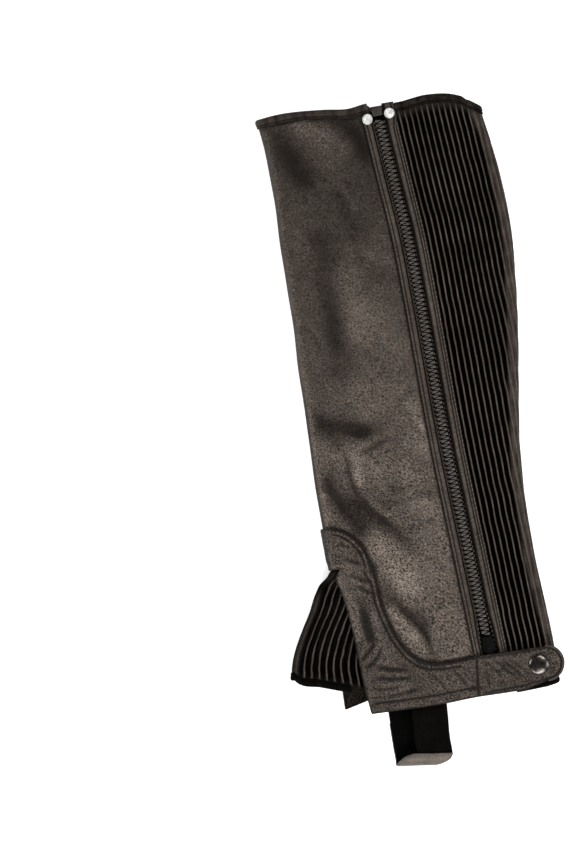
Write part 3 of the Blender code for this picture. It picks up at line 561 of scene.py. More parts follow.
def wrap_place(w, y, out=0.0):
    """Points on the sheet round the shin: w counts from the fold, up over the outer side."""
    w, y, out = grids(w, y, out)
    x = shin_x(w, y)
    turn = w / SHIN_RADIUS - math.pi / 2
    made = on_fold(shin_shoulder(y), y, lift(y) + SHIN_RADIUS, SHIN_RADIUS + out, turn)
    outer = w > SHIN_TURN
    inner = w < -SHIN_TURN
    made[outer] = outer_place(x[outer], y[outer], out[outer])
    flat = np.maximum(lift(y), STACK * smooth((x - strip_edge(y) + STRIP_RISE) / (STRIP_RISE - 2)))
    made[inner] = stacked(x, y, flat - out)[inner]
    return made


def calf_place(d, y, out=0.0):
    """Points on the sheet round the calf: d counts from the zip, over the back fold."""
    d, y, out = grids(d, y, out)
    x = zip_x(y) + d + np.where(d < FACING_OUTER, spread(y), 0.0)
    past = x - back_shoulder(y)
    turn = past / BACK_RADIUS
    middle = np.maximum(lift(y), STACK) + BACK_RADIUS
    made = on_fold(back_shoulder(y), y, middle, BACK_RADIUS + out, turn)
    outer = past < 0
    inner = turn > math.pi
    rise = RIB_RISE * smooth((d - RIBS_START + 2) / 2)
    made[outer] = outer_place(x[outer], y[outer], (out + rise)[outer])
    inner_x = back_shoulder(y) - (past - math.pi * BACK_RADIUS)
    made[inner] = stacked(inner_x, y, middle - BACK_RADIUS - out)[inner]
    return made


def gusset_shoulder(y):
    return GUSSET_FOLD.read("x", y) + GUSSET_RADIUS


def gusset_floor(x, y):
    front = FLAP_FRONT.read("inner", y)
    over_flap = (lift(y) + LEATHER + GAP + 0.05) * smooth((x - front + 14) / 11)
    over_binding = (BINDING_GAP + THIN_BINDING) * smooth((-138 - y) / 18)
    return np.maximum(over_flap, over_binding)


def gusset_top(x, y):
    shoulder = gusset_shoulder(y)
    tucked = outer_z(x, y) - LEATHER - GAP - 0.1
    room = np.maximum(FLAP_FRONT.read("outer", y) - 2 - shoulder, 1.0)
    return mix(gusset_floor(shoulder, y) + 2 * GUSSET_RADIUS, tucked, smooth((x - shoulder) / room))


def gusset_place(d, y, out=0.0):
    """Points on the gusset: d counts from its fold, over its upper limb where above 0."""
    d, y, out = grids(d, y, out)
    shoulder = gusset_shoulder(y)
    x = shoulder + np.abs(d) - GUSSET_TURN
    middle = gusset_floor(shoulder, y) + GUSSET_RADIUS
    made = on_fold(shoulder, y, middle, GUSSET_RADIUS + out, d / GUSSET_RADIUS - math.pi / 2)
    upper = d > GUSSET_TURN
    lower = d < -GUSSET_TURN
    made[upper] = stacked(x, y, gusset_top(x, y) + out)[upper]
    made[lower] = stacked(x, y, gusset_floor(x, y) - out)[lower]
    return made


def chain_place(across, y, out=0.0):
    return outer_place(zip_x(y) + across, y, out)


def strip_place(inwards, y, out=0.0):
    """Points on the inner side's strip, whose face lies on the surface."""
    x = SECTIONS.read("back", y) - inwards
    return stacked(x, y, np.maximum(lift(y), STACK) - STACK - out)


def patch_place(x, y, out=0.0):
    """Points on the patch's face, which lies on the surface."""
    return stacked(x, y, -np.asarray(out, float))


def normals_of(place, a, b, out):
    """Unit normals of a surface, from a small step out."""
    return unit(place(a, b, out + 0.5) - place(a, b, out))


# Meshes


def link(name, data):
    """A new object in the scene."""
    item = bpy.data.objects.new(name, data)
    bpy.context.scene.collection.objects.link(item)
    return item


def add_piece(name, points, faces, look, tone=None, sharp=None):
    """A named mesh on the part's body, which stands for the CAD node of its name if there is one."""
    node = name if name in SLOTS else None
    name = "fine_" + name if node else name
    mesh = bpy.data.meshes.new(name)
    points = (np.asarray(points, float) - (MIDDLE_X, MIDDLE_Y, 0)) * MM
    mesh.from_pydata(points.tolist(), [], faces)
    mesh.validate()
    mesh.shade_smooth()
    if sharp:
        mesh.set_sharp_from_angle(angle=math.radians(sharp))
    shade = mesh.attributes.new("tone", "FLOAT", "POINT")
    values = np.ones(len(mesh.vertices)) if tone is None else tone
    shade.data.foreach_set("value", values.astype(np.float32))
    mesh.materials.append(LOOKS[look])
    piece = link(name, mesh)
    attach(piece, "root")
    if node:
        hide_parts(node)
    return piece


def thicken(piece, wall):
    """Gives a sheet its wall, inwards from its outside face, with a bare flesh side."""
    piece.data.materials.append(LOOKS["flesh"])
    solid = piece.modifiers.new("wall", "SOLIDIFY")
    solid.thickness = wall * MM
    solid.offset = -1
    solid.material_offset = 1


def inside(points, outline):
    """Which points lie inside a closed outline."""
    found = np.zeros(len(points), bool)
    for (x0, y0), (x1, y1) in zip(outline, np.roll(outline, -1, axis=0)):
        if y0 == y1:
            continue
        crosses = (points[:, 1] < y0) != (points[:, 1] < y1)
        at = x0 + (points[:, 1] - y0) * (x1 - x0) / (y1 - y0)
        found ^= crosses & (points[:, 0] < at)
    return found


def nearest(points, lines):
    """How far each point is from the nearest of many points."""
    best = np.full(len(points), np.inf)
    for start in range(0, len(points), 2000):
        part = points[start : start + 2000]
        gaps = (part[:, None, 0] - lines[None, :, 0]) ** 2 + (part[:, None, 1] - lines[None, :, 1]) ** 2
        best[start : start + 2000] = np.sqrt(gaps.min(axis=1))
    return best


def beside(line, away):
    """A line moved sideways: to its left where away is above 0."""
    along = unit(np.gradient(line, axis=0))
    return line + stacked(-along[:, 1], along[:, 0]) * away


def flat_mesh(outline, spacing, seams):
    """Triangles inside an outline: an even pattern of points, closer by its edge and seams."""
    closed = np.concatenate([outline, outline[:1]])
    close = [beside(line, away) for line in seams for away in (-1.2, -0.6, 0.0, 0.6, 1.2)]
    close += [beside(closed, away)[:-1] for away in (0.45, 1.1, -0.45, -1.1)]
    close = np.concatenate([outline, *close])
    close = close[inside(close, outline)]
    low, high = outline.min(0), outline.max(0)
    ys = np.arange(low[1], high[1], spacing * 0.87)
    xs = np.arange(low[0], high[0], spacing)
    even = np.concatenate([stacked(xs + (number % 2) * spacing / 2, y) for number, y in enumerate(ys)])
    even = even[inside(even, outline)]
    even = even[nearest(even, np.concatenate([outline, close])) > spacing * 0.55]
    _, first = np.unique(np.round(close / 0.3), axis=0, return_index=True)
    close = close[np.sort(first)]
    close = close[nearest(close, outline) > 0.3]
    points = np.concatenate([outline, close, even])
    count = len(outline)
    edges = [(number, (number + 1) % count) for number in range(count)]
    made = delaunay_2d_cdt([Vector(point) for point in points], edges, [], 1, 1e-4)
    return np.array([tuple(v) for v in made[0]]), [tuple(face) for face in made[2]]


def level_at(level, a, b):
    """A level that is a number, or a function of the place."""
    return level(a, b) if callable(level) else np.full(np.shape(a), float(level))


def wrap_sheet(name, outline, spacing, level, seams, relief, shade, relief_shade):
    """A leather sheet round the shin: meshed flat inside its outline, with pressed seams."""
    flat, faces = flat_mesh(outline, spacing, seams)
    w, y = flat[:, 0], flat[:, 1]
    from_edge = nearest(flat, straight(np.concatenate([outline, outline[:1]]), 0.8))
    height = level_at(level, w, y) - 0.5 * np.clip(1 - from_edge / 1.5, 0, 1) ** 2
    tone = np.ones(len(flat))
    # Each seam is pressed in, with painted shade in its groove and a painted highlight on the ridge beside it
    for line in seams:
        away = nearest(flat, straight(line, 0.6))
        height = height - 0.5 * trough(away, 0.85) + 0.2 * trough(away - 2.0, 0.9)
        tone = np.minimum(tone, 1.0 - 1.15 * trough(away, 0.95)) + 0.18 * trough(away - 1.9, 0.7)
    # Painted shade in the creases and painted highlights on their ridges, then the painted light and shade of
    # the given shade function
    bumps = relief(w, y)
    tone = tone * (1 + np.clip(bumps * relief_shade, -0.85, 0.5)) * shade(w, y)
    # Darkened along the cut edge, partly the leather's dark cut edge and partly painted shade, with a painted
    # highlight on the rolled ridge just inside
    tone = tone * (1 - trough(from_edge, 1.15)) + 0.25 * trough(from_edge - 2.3, 0.8)
    place = wrap_place(w, y, height + bumps)
    thicken(add_piece(name, place, faces, "leather", np.clip(tone, 0, TONE_MAX)), LEATHER)


def slab(name, top, bottom, look, tone, sharp=50):
    """A closed sheet from two grids of points: its outside face, and its inside face."""
    rows, columns = top.shape[:2]
    count = rows * columns
    starts = [row * columns + column for row in range(rows - 1) for column in range(columns - 1)]
    outside = [(at, at + 1, at + columns + 1, at + columns) for at in starts]
    faces = outside + [tuple(count + corner for corner in reversed(face)) for face in outside]
    for column in range(columns - 1):
        low, high = column, (rows - 1) * columns + column
        faces.append((low + 1, low, count + low, count + low + 1))
        faces.append((high, high + 1, count + high + 1, count + high))
    for row in range(rows - 1):
        left, right = row * columns, row * columns + columns - 1
        faces.append((left, left + columns, count + left + columns, count + left))
        faces.append((right + columns, right, count + right, count + right + columns))
    points = np.concatenate([top.reshape(-1, 3), bottom.reshape(-1, 3)])
    tone = np.concatenate([np.broadcast_to(tone, (rows, columns)).ravel(), np.full(count, BACK_TONE)])
    return add_piece(name, points, faces, look, tone, sharp)


def copies(template, faces, frames):
    """One mesh of many like things: template points set in frames of (centre, axes)."""
    points = [centre + template @ axes for centre, axes in frames]
    made = []
    for start in range(0, len(frames) * len(template), len(template)):
        made += [tuple(start + corner for corner in face) for face in faces]
    return np.concatenate(points), made


def round_faces(rings):
    """Points and faces of a closed form through rings of equal point counts."""
    count = len(rings[0])
    faces = []
    for row in range(len(rings) - 1):
        for side in range(count):
            start, after = row * count + side, row * count + (side + 1) % count
            faces.append((start, after, after + count, start + count))
    faces.append(tuple(reversed(range(count))))
    faces.append(tuple(range((len(rings) - 1) * count, len(rings) * count)))
    return np.concatenate(rings), faces


def circle(steps):
    """Cosines and sines of even steps round a circle."""
    turns = np.arange(steps) * 2 * math.pi / steps
    return np.cos(turns), np.sin(turns)


def stitch_template(pitch):
    """A short thread along X, whose ends dip into the leather."""
    half = pitch * STITCH_SHARE / 2
    cosines, sines = circle(6)
    rings = []
    for along, size, dip in STITCH_RINGS:
        rings.append(stacked(along * half, cosines * size * STITCH_WIDTH / 2, sines * size * 0.24 + dip))
    return round_faces(rings)


def read_line(where, at, rows):
    """The row at one distance along a line of rows."""
    return np.array([np.interp(where, at, rows[:, axis]) for axis in range(3)])


def along_seam(place, line, level, pitch, sink=0.0):
    """Frames of centre and axes, pitch apart along a seam of places on a surface."""
    a, b = straight(line, 0.5).T
    out = level_at(level, a, b) - sink
    points = place(a, b, out)
    normals = normals_of(place, a, b, out)
    at = lengths_along(points)
    count = max(1, int(at[-1] / pitch))
    reach = pitch * STITCH_SHARE / 2
    frames = []
    for middle in at[-1] * (np.arange(count) + 0.5) / count:
        along = read_line(middle + reach, at, points) - read_line(middle - reach, at, points)
        if np.linalg.norm(along) < reach:
            continue
        along = unit(along)
        up = read_line(middle, at, normals)
        up = unit(up - along * up.dot(along))
        frames.append((read_line(middle, at, points), np.array([along, np.cross(up, along), up])))
    return frames


def stitch_rows(name, place, rows, look="thread", pitch=STITCH_PITCH):
    """Joined stitches along seams. Each row is a line of places and the surface's level."""
    frames = []
    for line, level in rows:
        frames += along_seam(place, line, level, pitch, STITCH_SINK)
    add_piece(name, *copies(*stitch_template(pitch), frames), look)


def tube_along(name, line, place, level, radius, look):
    """A round rim along a line of places."""
    cosines, sines = circle(8)
    rings = []
    for centre, axes in along_seam(place, line, level, 0.9):
        rings.append(centre + radius * (cosines[:, None] * axes[1] + sines[:, None] * axes[2]))
    add_piece(name, *round_faces(rings), look)


# Outlines and seams on the wrap round the shin, as (w, y)


def on_wrap(points, side=1):
    x, y = np.asarray(points, float).T
    return stacked(shin_wrap(x, y, side), y)


def on_table(xs, table, side, step=0.0):
    """A line across one side of the wrap, at the y that an edge's table gives."""
    return on_wrap(stacked(xs, table.read("y", xs) + step), side)


def flap_line(column, ys, inset=0.0):
    """A line along the slit's front edge, on the outer or the inner side."""
    side = 1 if column == "outer" else -1
    return on_wrap(stacked(FLAP_FRONT.read(column, ys) + inset, ys), side)


def zip_line(from_zip, low, high, widen=0.0):
    """A line along the zip, as (x, y): widen is its share of the slider's spread."""
    ys = np.linspace(low, high, math.ceil((high - low) / 2) + 1)
    return stacked(zip_x(ys) + from_zip + widen * spread(ys), ys)


def top_edge(w):
    """The main panel's top edge, round the shin."""
    x = shin_x(w, 247.0)
    level = np.where(w > 0, OUTER_TOP.read("y", x), INNER_TOP.read("y", x))
    return mix(SHIN_TOP_Y, level, smooth((np.abs(w) - SHIN_TURN * 0.5) / 9))


def panel_outline():
    zip_edge = on_wrap(zip_line(-PANEL_TO_CHAIN, -204.6, 245.6, widen=-1.0))
    inner_w = shin_wrap(strip_edge(243.0) + PANEL_UNDER_STRIP, 243.0, -1)
    across = np.linspace(zip_edge[-1, 0] - 1.5, inner_w, 110)
    ys = np.arange(241.0, -194, -2.5)
    return np.concatenate([
        zip_edge,
        stacked(across, top_edge(across)),
        on_wrap(stacked(strip_edge(ys) + PANEL_UNDER_STRIP, ys), -1),
        on_table(np.arange(41.0, -92, -2.0), INNER_BOTTOM, -1),
        flap_line("inner", np.arange(-197.0, -94.5, 2.0)),
        stacked(np.linspace(0.3 - SHIN_TURN, SHIN_TURN - 0.3, 9), NOTCH_Y),
        flap_line("outer", np.arange(-95.0, -203, -2.0)),
        on_table(np.arange(-72.7, 15.5, 2.0), OUTER_BOTTOM, 1),
    ])


def panel_relief(w, y):
    """Creases of the inner side, which keep clear of the strip, and ripples along the fold."""
    x = shin_x(w, y)
    pressed = np.minimum(creases_height(x, y, INNER_CREASES) + 0.35 * waves(x, y, 11, 30) - 0.3, 0)
    clear_of_strip = smooth((strip_edge(y) - STRIP_RISE - x) / 8) * smooth((-w - SHIN_TURN) / 8)
    fold = 0.35 * waves(w * 0.5, y, 13, 46) * smooth(1 - np.abs(w) / (SHIN_TURN + 6))
    return np.where(w < -SHIN_TURN, pressed * clear_of_strip, 0) + np.minimum(fold, 0.25) * (w > -4)


def shin_rim(w, y):
    """Painted shade on the turn of the shin fold: darkest at its edge, more so lower down."""
    return 1 - 0.95 * smooth((6.4 - np.abs(w)) / 2.4) * mix(1, 0.3, smooth((y - 20) / 60))


def guard_shade(w, y):
    """Painted shade on the turn of the shin fold, and the overlay darker in its lower band than over the
    shin.
    """
    return shin_rim(w, y) * mix(1.12, 0.8, smooth((-100 - y) / 70))


def fold_shade(w, y):
    """Painted shade in the troughs and painted highlights on the ridges and in broad patches, on the outer
    side.
    """
    x = shin_x(w, y)
    away = smooth((w - SHIN_TURN * 0.3) / SHIN_TURN)
    creased = creases_height(x, y, OUTER_CREASES)
    # Broad patches of painted sheen and painted shade
    wear_and_painted_sheen = humps(x, y, PAINTED_SHEEN_AND_SHADE)
    shaded = 1 + away * np.clip(fold_height(x, y) * 0.16 + creased * 0.6 + 1.25 * wear_and_painted_sheen, -0.82, 1.3)
    # Painted shadow under the top band's edge and beside the guard's edge, and painted shade on the turn of
    # the shin fold
    shade_under_band = trough(top_edge(w) - y - TOP_BAND - 0.6, 0.9)
    by_guard, _ = line_distance(w, y, on_wrap(GUARD_OUTER_EDGE))
    dark = (1 - 0.95 * shade_under_band) * (1 - 0.9 * trough(by_guard, 1.3)) * shin_rim(w, y)
    # A painted highlight along the shin fold, and painted light that makes the leather lighter towards the
    # bottom
    return (shaded + 0.5 * trough(w - 6.5, 3.2)) * dark * mix(1.5, 0.62, smooth((y + 160) / 360))


def make_main_panel():
    """Leather from the zip's front edge round the shin to the strip on the inner side."""
    by_zip = on_wrap(zip_line(-12.0, -170, 240))
    hem = on_table(np.arange(-64.0, 36, 2.0), INNER_BOTTOM, -1, 5.0)
    hem = hem[hem[:, 0] > shin_wrap(36.0, -190.0, -1)]
    wrap_sheet("main_panel", panel_outline(), 2.0, 0.0, [by_zip, hem], panel_relief, fold_shade, 0.4)
    stitch_rows("panel_stitches", wrap_place, [(by_zip, -0.3), (hem, -0.35)])


def tab_rise(x):
    """How far the tab stands off the panel: over the facings, the pull and the snap."""
    return 1.7 * smooth((x - 6) / 5) + 1.5 * smooth((x - 11.5) / 5) + 1.2 * smooth((x - 32) / 14)


def tab_end_arc(radius, first=80, last=-90):
    turns = np.radians(np.arange(first, last - 1, -6))
    return stacked(TAB_END[0] + radius * np.cos(turns), TAB_END[1] + radius * np.sin(turns))


def guard_level(w, y):
    """The guard's face above the panel: it rises over the zip, and sinks round the snap."""
    x = shin_x(w, y)
    pressed = 0.5 * trough(np.hypot(x - SNAP[0], y - SNAP[1]) - SNAP_DENT, 1.5)
    return GAP + LEATHER + np.where(w > 0, tab_rise(x) - pressed, 0)


def guard_relief(w, y):
    x = shin_x(w, y)
    outer = creases_height(x, y, GUARD_CREASES) + 0.16 * waves(x, y, 21, 12) + 0.22 * waves(x, y, 22, 30)
    inner = np.minimum(0.3 * waves(x, y, 23, 18) - 0.25, 0)
    return np.where(w > 0, outer * smooth(w / SHIN_TURN), inner * smooth(-w / SHIN_TURN))


def guard_seam_level(w, y):
    return guard_level(w, y) + guard_relief(w, y) - 0.3


def tab_rim_level(w, y):
    return guard_level(w, y) - 0.75


def guard_outline():
    edge = curve(GUARD_OUTER_EDGE, 1.5)
    tab_end = tab_end_arc(TAB_END_RADIUS)
    tab_top = straight([edge[-1], tab_end[0]], 2.0)[1:-1]
    inner_edge = curve(GUARD_INNER_EDGE, 2.0)[::-1]
    crest = np.linspace(2 - SHIN_TURN, SHIN_TURN - 3, 9)
    return np.concatenate([
        on_wrap(np.concatenate([edge, tab_top, tab_end])),
        on_table(np.arange(-72.4, 44, 2.0), OUTER_BOTTOM, 1)[::-1],
        flap_line("outer", np.arange(-201.5, -94, 2.0)),
        stacked(np.linspace(SHIN_TURN - 0.3, 0.3 - SHIN_TURN, 9), NOTCH_Y),
        flap_line("inner", np.arange(-95.0, -196, -2.0)),
        on_table(np.arange(-90.0, -63, 2.0), INNER_BOTTOM, -1),
        on_wrap(inner_edge[inner_edge[:, 1] > -191], -1),
        stacked(crest, GUARD_FOLD_Y + 0.3 * np.cos(crest / 4)),
    ])[::-1]


def guard_seams():
    """Two rows inside its upper edge on each side, one round the tab, the hem and the band."""
    outer = on_wrap(curve(GUARD_OUTER_EDGE, 1.5))
    inner = on_wrap(curve(GUARD_INNER_EDGE, 1.5), -1)[:-4]
    tab_end = tab_end_arc(TAB_END_RADIUS - 1.5)
    tab = np.concatenate([[(-20, -175.4), (10, -175.5), (40, -176.6)], tab_end, [(42, -201.7), (14, -202)]])
    return [
        beside(outer, -1.6)[1:-14],
        beside(outer, -4.7)[2:-10],
        beside(inner, 1.6)[1:],
        beside(inner, 4.7)[1:],
        on_wrap(straight(tab, 1.5)),
        on_table(np.arange(-68.0, 12, 2.0), OUTER_BOTTOM, 1, 7.5),
        on_wrap(straight(BAND_SEAM, 1.5)),
        flap_line("inner", np.arange(-104.0, -196, -2.0), 4.0),
    ]


def make_ankle_guard():
    """The overlay round the ankle, whose lower band runs on as the snap tab."""
    seams = guard_seams()
    wrap_sheet("ankle_guard", guard_outline(), 1.5, guard_level, seams, guard_relief, guard_shade, 1.6)
    stitch_rows("guard_stitches", wrap_place, [(row, guard_seam_level) for row in seams])
    rim = on_wrap(tab_end_arc(TAB_END_RADIUS + 0.1, 86, -96))
    tube_along("tab_piping", rim, wrap_place, tab_rim_level, 0.95, "trim")


# The ribbed panel round the calf


def rib_pitch(y):
    return RIB_PITCH - RIB_SQUEEZE * smooth((y - 50) / 60)


def ribs(phase, kink, calm):
    """Narrow crests and deep valleys: their height from the sheet, and their tone, which paints shade dark
    into the valleys.
    """
    wave = (0.5 + 0.5 * np.cos(2 * math.pi * (phase + kink))) ** 1.9
    return RIB_CREST - RIB_DEPTH * calm * (1 - wave), smooth((wave - 0.66) / 0.3)


def calf_end(y):
    """How far the ribbed panel runs from the zip, to its edge under the strip."""
    hidden = STRETCH_UNDER_STRIP - BACK_RADIUS
    return back_shoulder(y) - zip_x(y) + math.pi * BACK_RADIUS + hidden


def calf_turn(d, y):
    """The angle round the back fold, above 0 past its top."""
    return (zip_x(y) + d - back_shoulder(y)) / BACK_RADIUS


def calf_top(d, y):
    """The ribbed panel's top edge, round the back fold."""
    past = calf_turn(d, y)
    on_back = mix(BACK_TOP_Y + 5, BACK_TOP_Y, np.sin(np.clip(past, 0, math.pi)))
    return mix(OUTER_TOP.read("y", zip_x(y) + d), on_back, smooth((past + 0.7) / 0.7))


def calf_bottom(d, y):
    past = calf_turn(d, y)
    inner = mix(HEM_Y, INNER_BOTTOM.read("y", 62.0), np.clip(past / math.pi, 0, 1))
    return np.where(past < 0, OUTER_BOTTOM.read("y", zip_x(y) + d), inner)


def calf_grid():
    """Places over the ribbed panel: rows from its bottom edge to its top, 0.58 mm columns."""
    share, level = np.meshgrid(np.linspace(0, 1, 182), np.linspace(0, 1, 142))
    d = mix(PANEL_TO_CHAIN, calf_end(mix(HEM_Y, 241.0, level)), share)
    y = mix(calf_bottom(d, HEM_Y), calf_top(d, TOP_Y), level)
    return mix(PANEL_TO_CHAIN, calf_end(y), share), y


def make_stretch_panel():
    """Ribbed leather on elastic, from the zip's back edge round the calf to the strip."""
    d, y = calf_grid()
    calm = smooth((calf_top(d, TOP_Y) - 3.5 - y) / 11) * smooth((y - calf_bottom(d, HEM_Y) - 3) / 8)
    calm = calm * (0.86 + 0.3 * waves(d * 1.5, y, 31, 60))
    from_snap = np.hypot(zip_x(y) + d - SNAP[0], y - SNAP[1])
    calm = calm * mix(0.4, 1, smooth((from_snap - 9) / 5))
    kink = 0.09 * waves(d * 0.5, y, 32, 26) + 0.05 * waves(d * 0.5, y, 33, 11)
    height, tone = ribs((d - RIB_FIRST) / rib_pitch(y), kink, calm)
    ribbed = smooth((d - RIBS_START + 2) / 2.2)
    scallop = 0.45 + 0.2 * np.cos(2 * math.pi * y / TOOTH_PITCH)
    ridge = trough(d - MARGIN_SEAM, 0.75)
    height = height * ribbed + (1 - ribbed) * (scallop * ridge - 0.25)
    past = calf_turn(d, y) + 0.25 * waves(d * 0.2, y, 34, 50)
    by_fold = smooth((past + 0.3) / 0.4) * smooth((2.2 - past) / 0.6)
    # A painted highlight along the back fold, where the ribs are seen edge-on
    painted_fold_highlight = 0.45 + 0.4 * waves(d * 3.0, y * 0.4, 35, 9)
    height = height * (1 - 0.4 * by_fold)
    tone = mix(tone, np.maximum(tone, painted_fold_highlight), by_fold)
    # Painted shade in the margin beside the zip, with a painted highlight on its stitched ridge, and dark
    # where the ribs run flat
    tone = mix(0.9 * ridge, mix(0.2, tone, np.clip(calm * 1.4, 0, 1)), ribbed)
    edge = smooth((calf_end(y) - d) / 2) * smooth((d - PANEL_TO_CHAIN) / 1.2)
    top = calf_place(d, y, height * edge - 0.3 * (1 - edge))
    bottom = calf_place(d, y, mix(0.1 - LEATHER, RIB_BACK, ribbed * edge))
    slab("stretch_panel", top, bottom, "ribbed", tone, None)
    margin = stacked(MARGIN_SEAM, zip_line(0, -172, 238)[:, 1])
    stitch_rows("margin_stitches", calf_place, [(margin, 0.25)], "pale_thread", TOOTH_PITCH)


# The gusset over the instep


def gusset_bottom(d):
    across = GUSSET_FOLD.read("x", -172.0) + GUSSET_RADIUS + np.abs(d) - GUSSET_TURN
    limb = GUSSET_BOTTOM.read("y", across + 2.0)
    return mix(limb, GUSSET_LOW_Y, np.cos(np.clip(np.abs(d) / GUSSET_TURN, 0, 1) * math.pi / 2))


def gusset_start(d, side):
    """Where a line at one distance from the fold comes out from under its flap."""
    ys = np.linspace(NOTCH_Y + 1.2, -192, 120)
    room = FLAP_FRONT.read(side, ys) + UNDER_FLAP - gusset_shoulder(ys) + GUSSET_TURN
    return np.interp(np.abs(d), np.maximum.accumulate(room), ys)


def make_gusset():
    """The folded ribbed gusset, with ribs that run along its fold."""
    ds = np.arange(-38.0, 59.5, 0.55)
    start = np.where(ds > 0, gusset_start(ds, "outer"), gusset_start(ds, "inner"))
    bottom = gusset_bottom(ds)
    open_there = start - bottom > 2
    ds, start, bottom = ds[open_there], start[open_there], bottom[open_there]
    share, d = np.meshgrid(np.linspace(0, 1, 60), ds, indexing="ij")
    y = mix(bottom, start, share)
    calm = smooth((y - bottom - GUSSET_BINDING + 2) / 6) * smooth((NOTCH_Y - 1 - y) / 14)
    depth = calm * smooth((np.abs(d) - 1.5) / 3) * (0.8 + 0.25 * waves(d, y, 41, 30))
    kink = 0.11 * waves(d * 0.6, y, 42, 20) + 0.07 * waves(d, y, 43, 9)
    height, tone = ribs((d - GUSSET_FIRST_RIB) / GUSSET_RIB_PITCH, kink, depth * 0.8)
    height = np.minimum(height - RIB_CREST + 0.1, np.where(d < 0, -0.1, 0.5))
    # Besides the painted shade in the rib valleys, the tone is dark round the fold's turn but for a lighter
    # band, and dark where the ribs run flat
    band = trough(np.abs(d) - 4.6, 2.0) * smooth((NOTCH_Y - 10 - y) / 14)
    tone = tone * smooth((np.abs(d) - 7.4) / 1.2) * mix(0.7, 1.2, 0.5 + 0.5 * waves(d, y * 0.6, 44, 12))
    tone = mix(0.12, np.maximum(tone, 0.6 * band), np.clip(calm * 1.5, 0, 1))
    back = gusset_place(d, y, np.minimum(height - 0.5, -GUSSET_WALL))
    slab("gusset", gusset_place(d, y, height), back, "gusset", tone, None)
    across = np.arange(-28.0, 45.5, 1.0)
    edge = gusset_bottom(across)
    binding("gusset_binding", gusset_place, across, edge, -1, GUSSET_BINDING, GUSSET_WALL, THIN_BINDING)


# Bindings, and the ribbons of the zip


def binding(name, place, across, edge, towards, depth, sheet, wall, look="webbing", pucker=0.12, light=1.0):
    """A band folded over an edge: a rounded U with slight puckers."""
    reach = BINDING_GAP + wall
    inside_face = -(sheet + reach)
    middle = (reach + inside_face) / 2
    skin = [(-depth - 0.1, 0.35), (-depth + 0.15, reach - 0.45), (-depth + 0.8, reach - 0.2)]
    skin += [(-depth + 1.7, reach - 0.5), (-depth + 2.6, reach - 0.1), (-1.4, reach)]
    for angle in np.radians(range(80, -81, -20)):
        skin.append((-0.9 + (reach + 0.9) * math.cos(angle), middle + (reach - middle) * math.sin(angle)))
    skin = np.array([*skin, (-1.4, inside_face), (-depth, inside_face + 0.3)])
    ripple = waves(across, across * 0.3, 51, 6)
    sides = []
    for profile in (skin, beside(skin, -wall * 0.75)):
        rows = []
        for away, height in profile:
            low = edge + towards * (away + 0.25 * ripple * (away < 2 - depth))
            rows.append(place(across, low, height + ripple * pucker * (height > middle)))
        sides.append(np.array(rows[::towards]))
    tone = np.full(len(skin), light)
    # Painted shade at the band's lower edge and in its stitched groove, and painted light and shade on its
    # puckers
    tone[:5] = (0.02, 0.15, 0.8 * light, 0.08, light)
    slab(name, *sides, look, tone[::towards, None] * (1 + 0.9 * ripple))


def make_top_bindings():
    across = np.arange(shin_wrap(-0.9, 244.0, 1) + 5.4, -153, -1.3)[::-1]
    across = across[across < shin_wrap(3.9, 245.0, 1)]
    edge = top_edge(across)
    binding("top_binding_leather", wrap_place, across, edge, 1, TOP_BAND, LEATHER, BINDING, "trim", 0.3, 0.6)
    row = stacked(across, edge - TOP_BAND + BAND_STITCH)
    stitch_rows("top_stitches", wrap_place, [(row[3:-6], 1.05)])
    across = np.arange(RIBS_START, calf_end(TOP_Y) - 8.5, 1.1)
    edge = calf_top(across, TOP_Y)
    binding("top_binding_stretch", calf_place, across, edge, 1, TOP_BAND, LEATHER, BINDING, "hem", 0.2)
    across = np.arange(RIBS_START, calf_end(BOTTOM_Y) - 12.5, 1.1)
    edge = calf_bottom(across, BOTTOM_Y)
    binding("bottom_binding", calf_place, across, edge, -1, BOTTOM_BAND, LEATHER, BINDING)


def ribbon(name, profile, low, high, floor, look, widen):
    """A strip along the zip with a shaped section, on a flat underside."""
    across, height, tone = np.array(profile).T
    ys = np.linspace(low, high, math.ceil((high - low) / 1.6))[:, None]
    y = np.repeat(ys, len(profile), axis=1)
    x = zip_x(ys) + across + widen(across, ys)
    ends = smooth(np.minimum(ys - low, high - ys) / 1.5 + 0.35)
    ripple = 0.07 * waves(x, y, 61, 7)
    top = outer_place(x, y, floor + (height - floor) * ends + ripple * (tone > 0.6))
    slab(name, top, outer_place(x, y, floor), look, tone)


def still(across, y):
    return 0 * across * y


def opened(across, y):
    """The lips move apart round the slider."""
    return np.sign(across) * spread(y) * smooth((11 - np.abs(across)) / 6.6)


def top_tab(across, y):
    """The back facing widens over its last few millimetres, under the rivet."""
    return opened(across, y) + 2.0 * smooth((y - 225) / 10) * smooth((across - 5) / 6)


def make_zip():
    """Facings, tapes, two rows of teeth, and the stitches beside them."""
    ribbon("zip_facing_front", FRONT_FACING, -203.5, 239.5, GAP, "trim", opened)
    ribbon("zip_facing_back", BACK_FACING, -204, 246, GAP, "trim", top_tab)
    face = -(LEATHER + GAP)
    back = face - TAPE
    tape = [(0.2, back, 0.6), (0.25, face - 0.1, 1), (0.6, face, 1)]
    tape += [(6, face, 1), (9.4, face, 1), (9.5, back, 1)]
    ribbon("zip_tape_front", np.array(tape[::-1]) * (-1, 1, 1), -204, 241, back, "tape", still)
    ribbon("zip_tape_back", tape, -205, 241, back, "tape", still)
    rows = []
    for across, high, level in ZIP_SEAMS:
        ys = zip_line(0, -173, high)[:, 1]
        rows.append((stacked(across + opened(across, ys), ys), level))
    stitch_rows("zip_stitches", chain_place, rows, "pale_thread", TOOTH_PITCH)
    make_teeth()


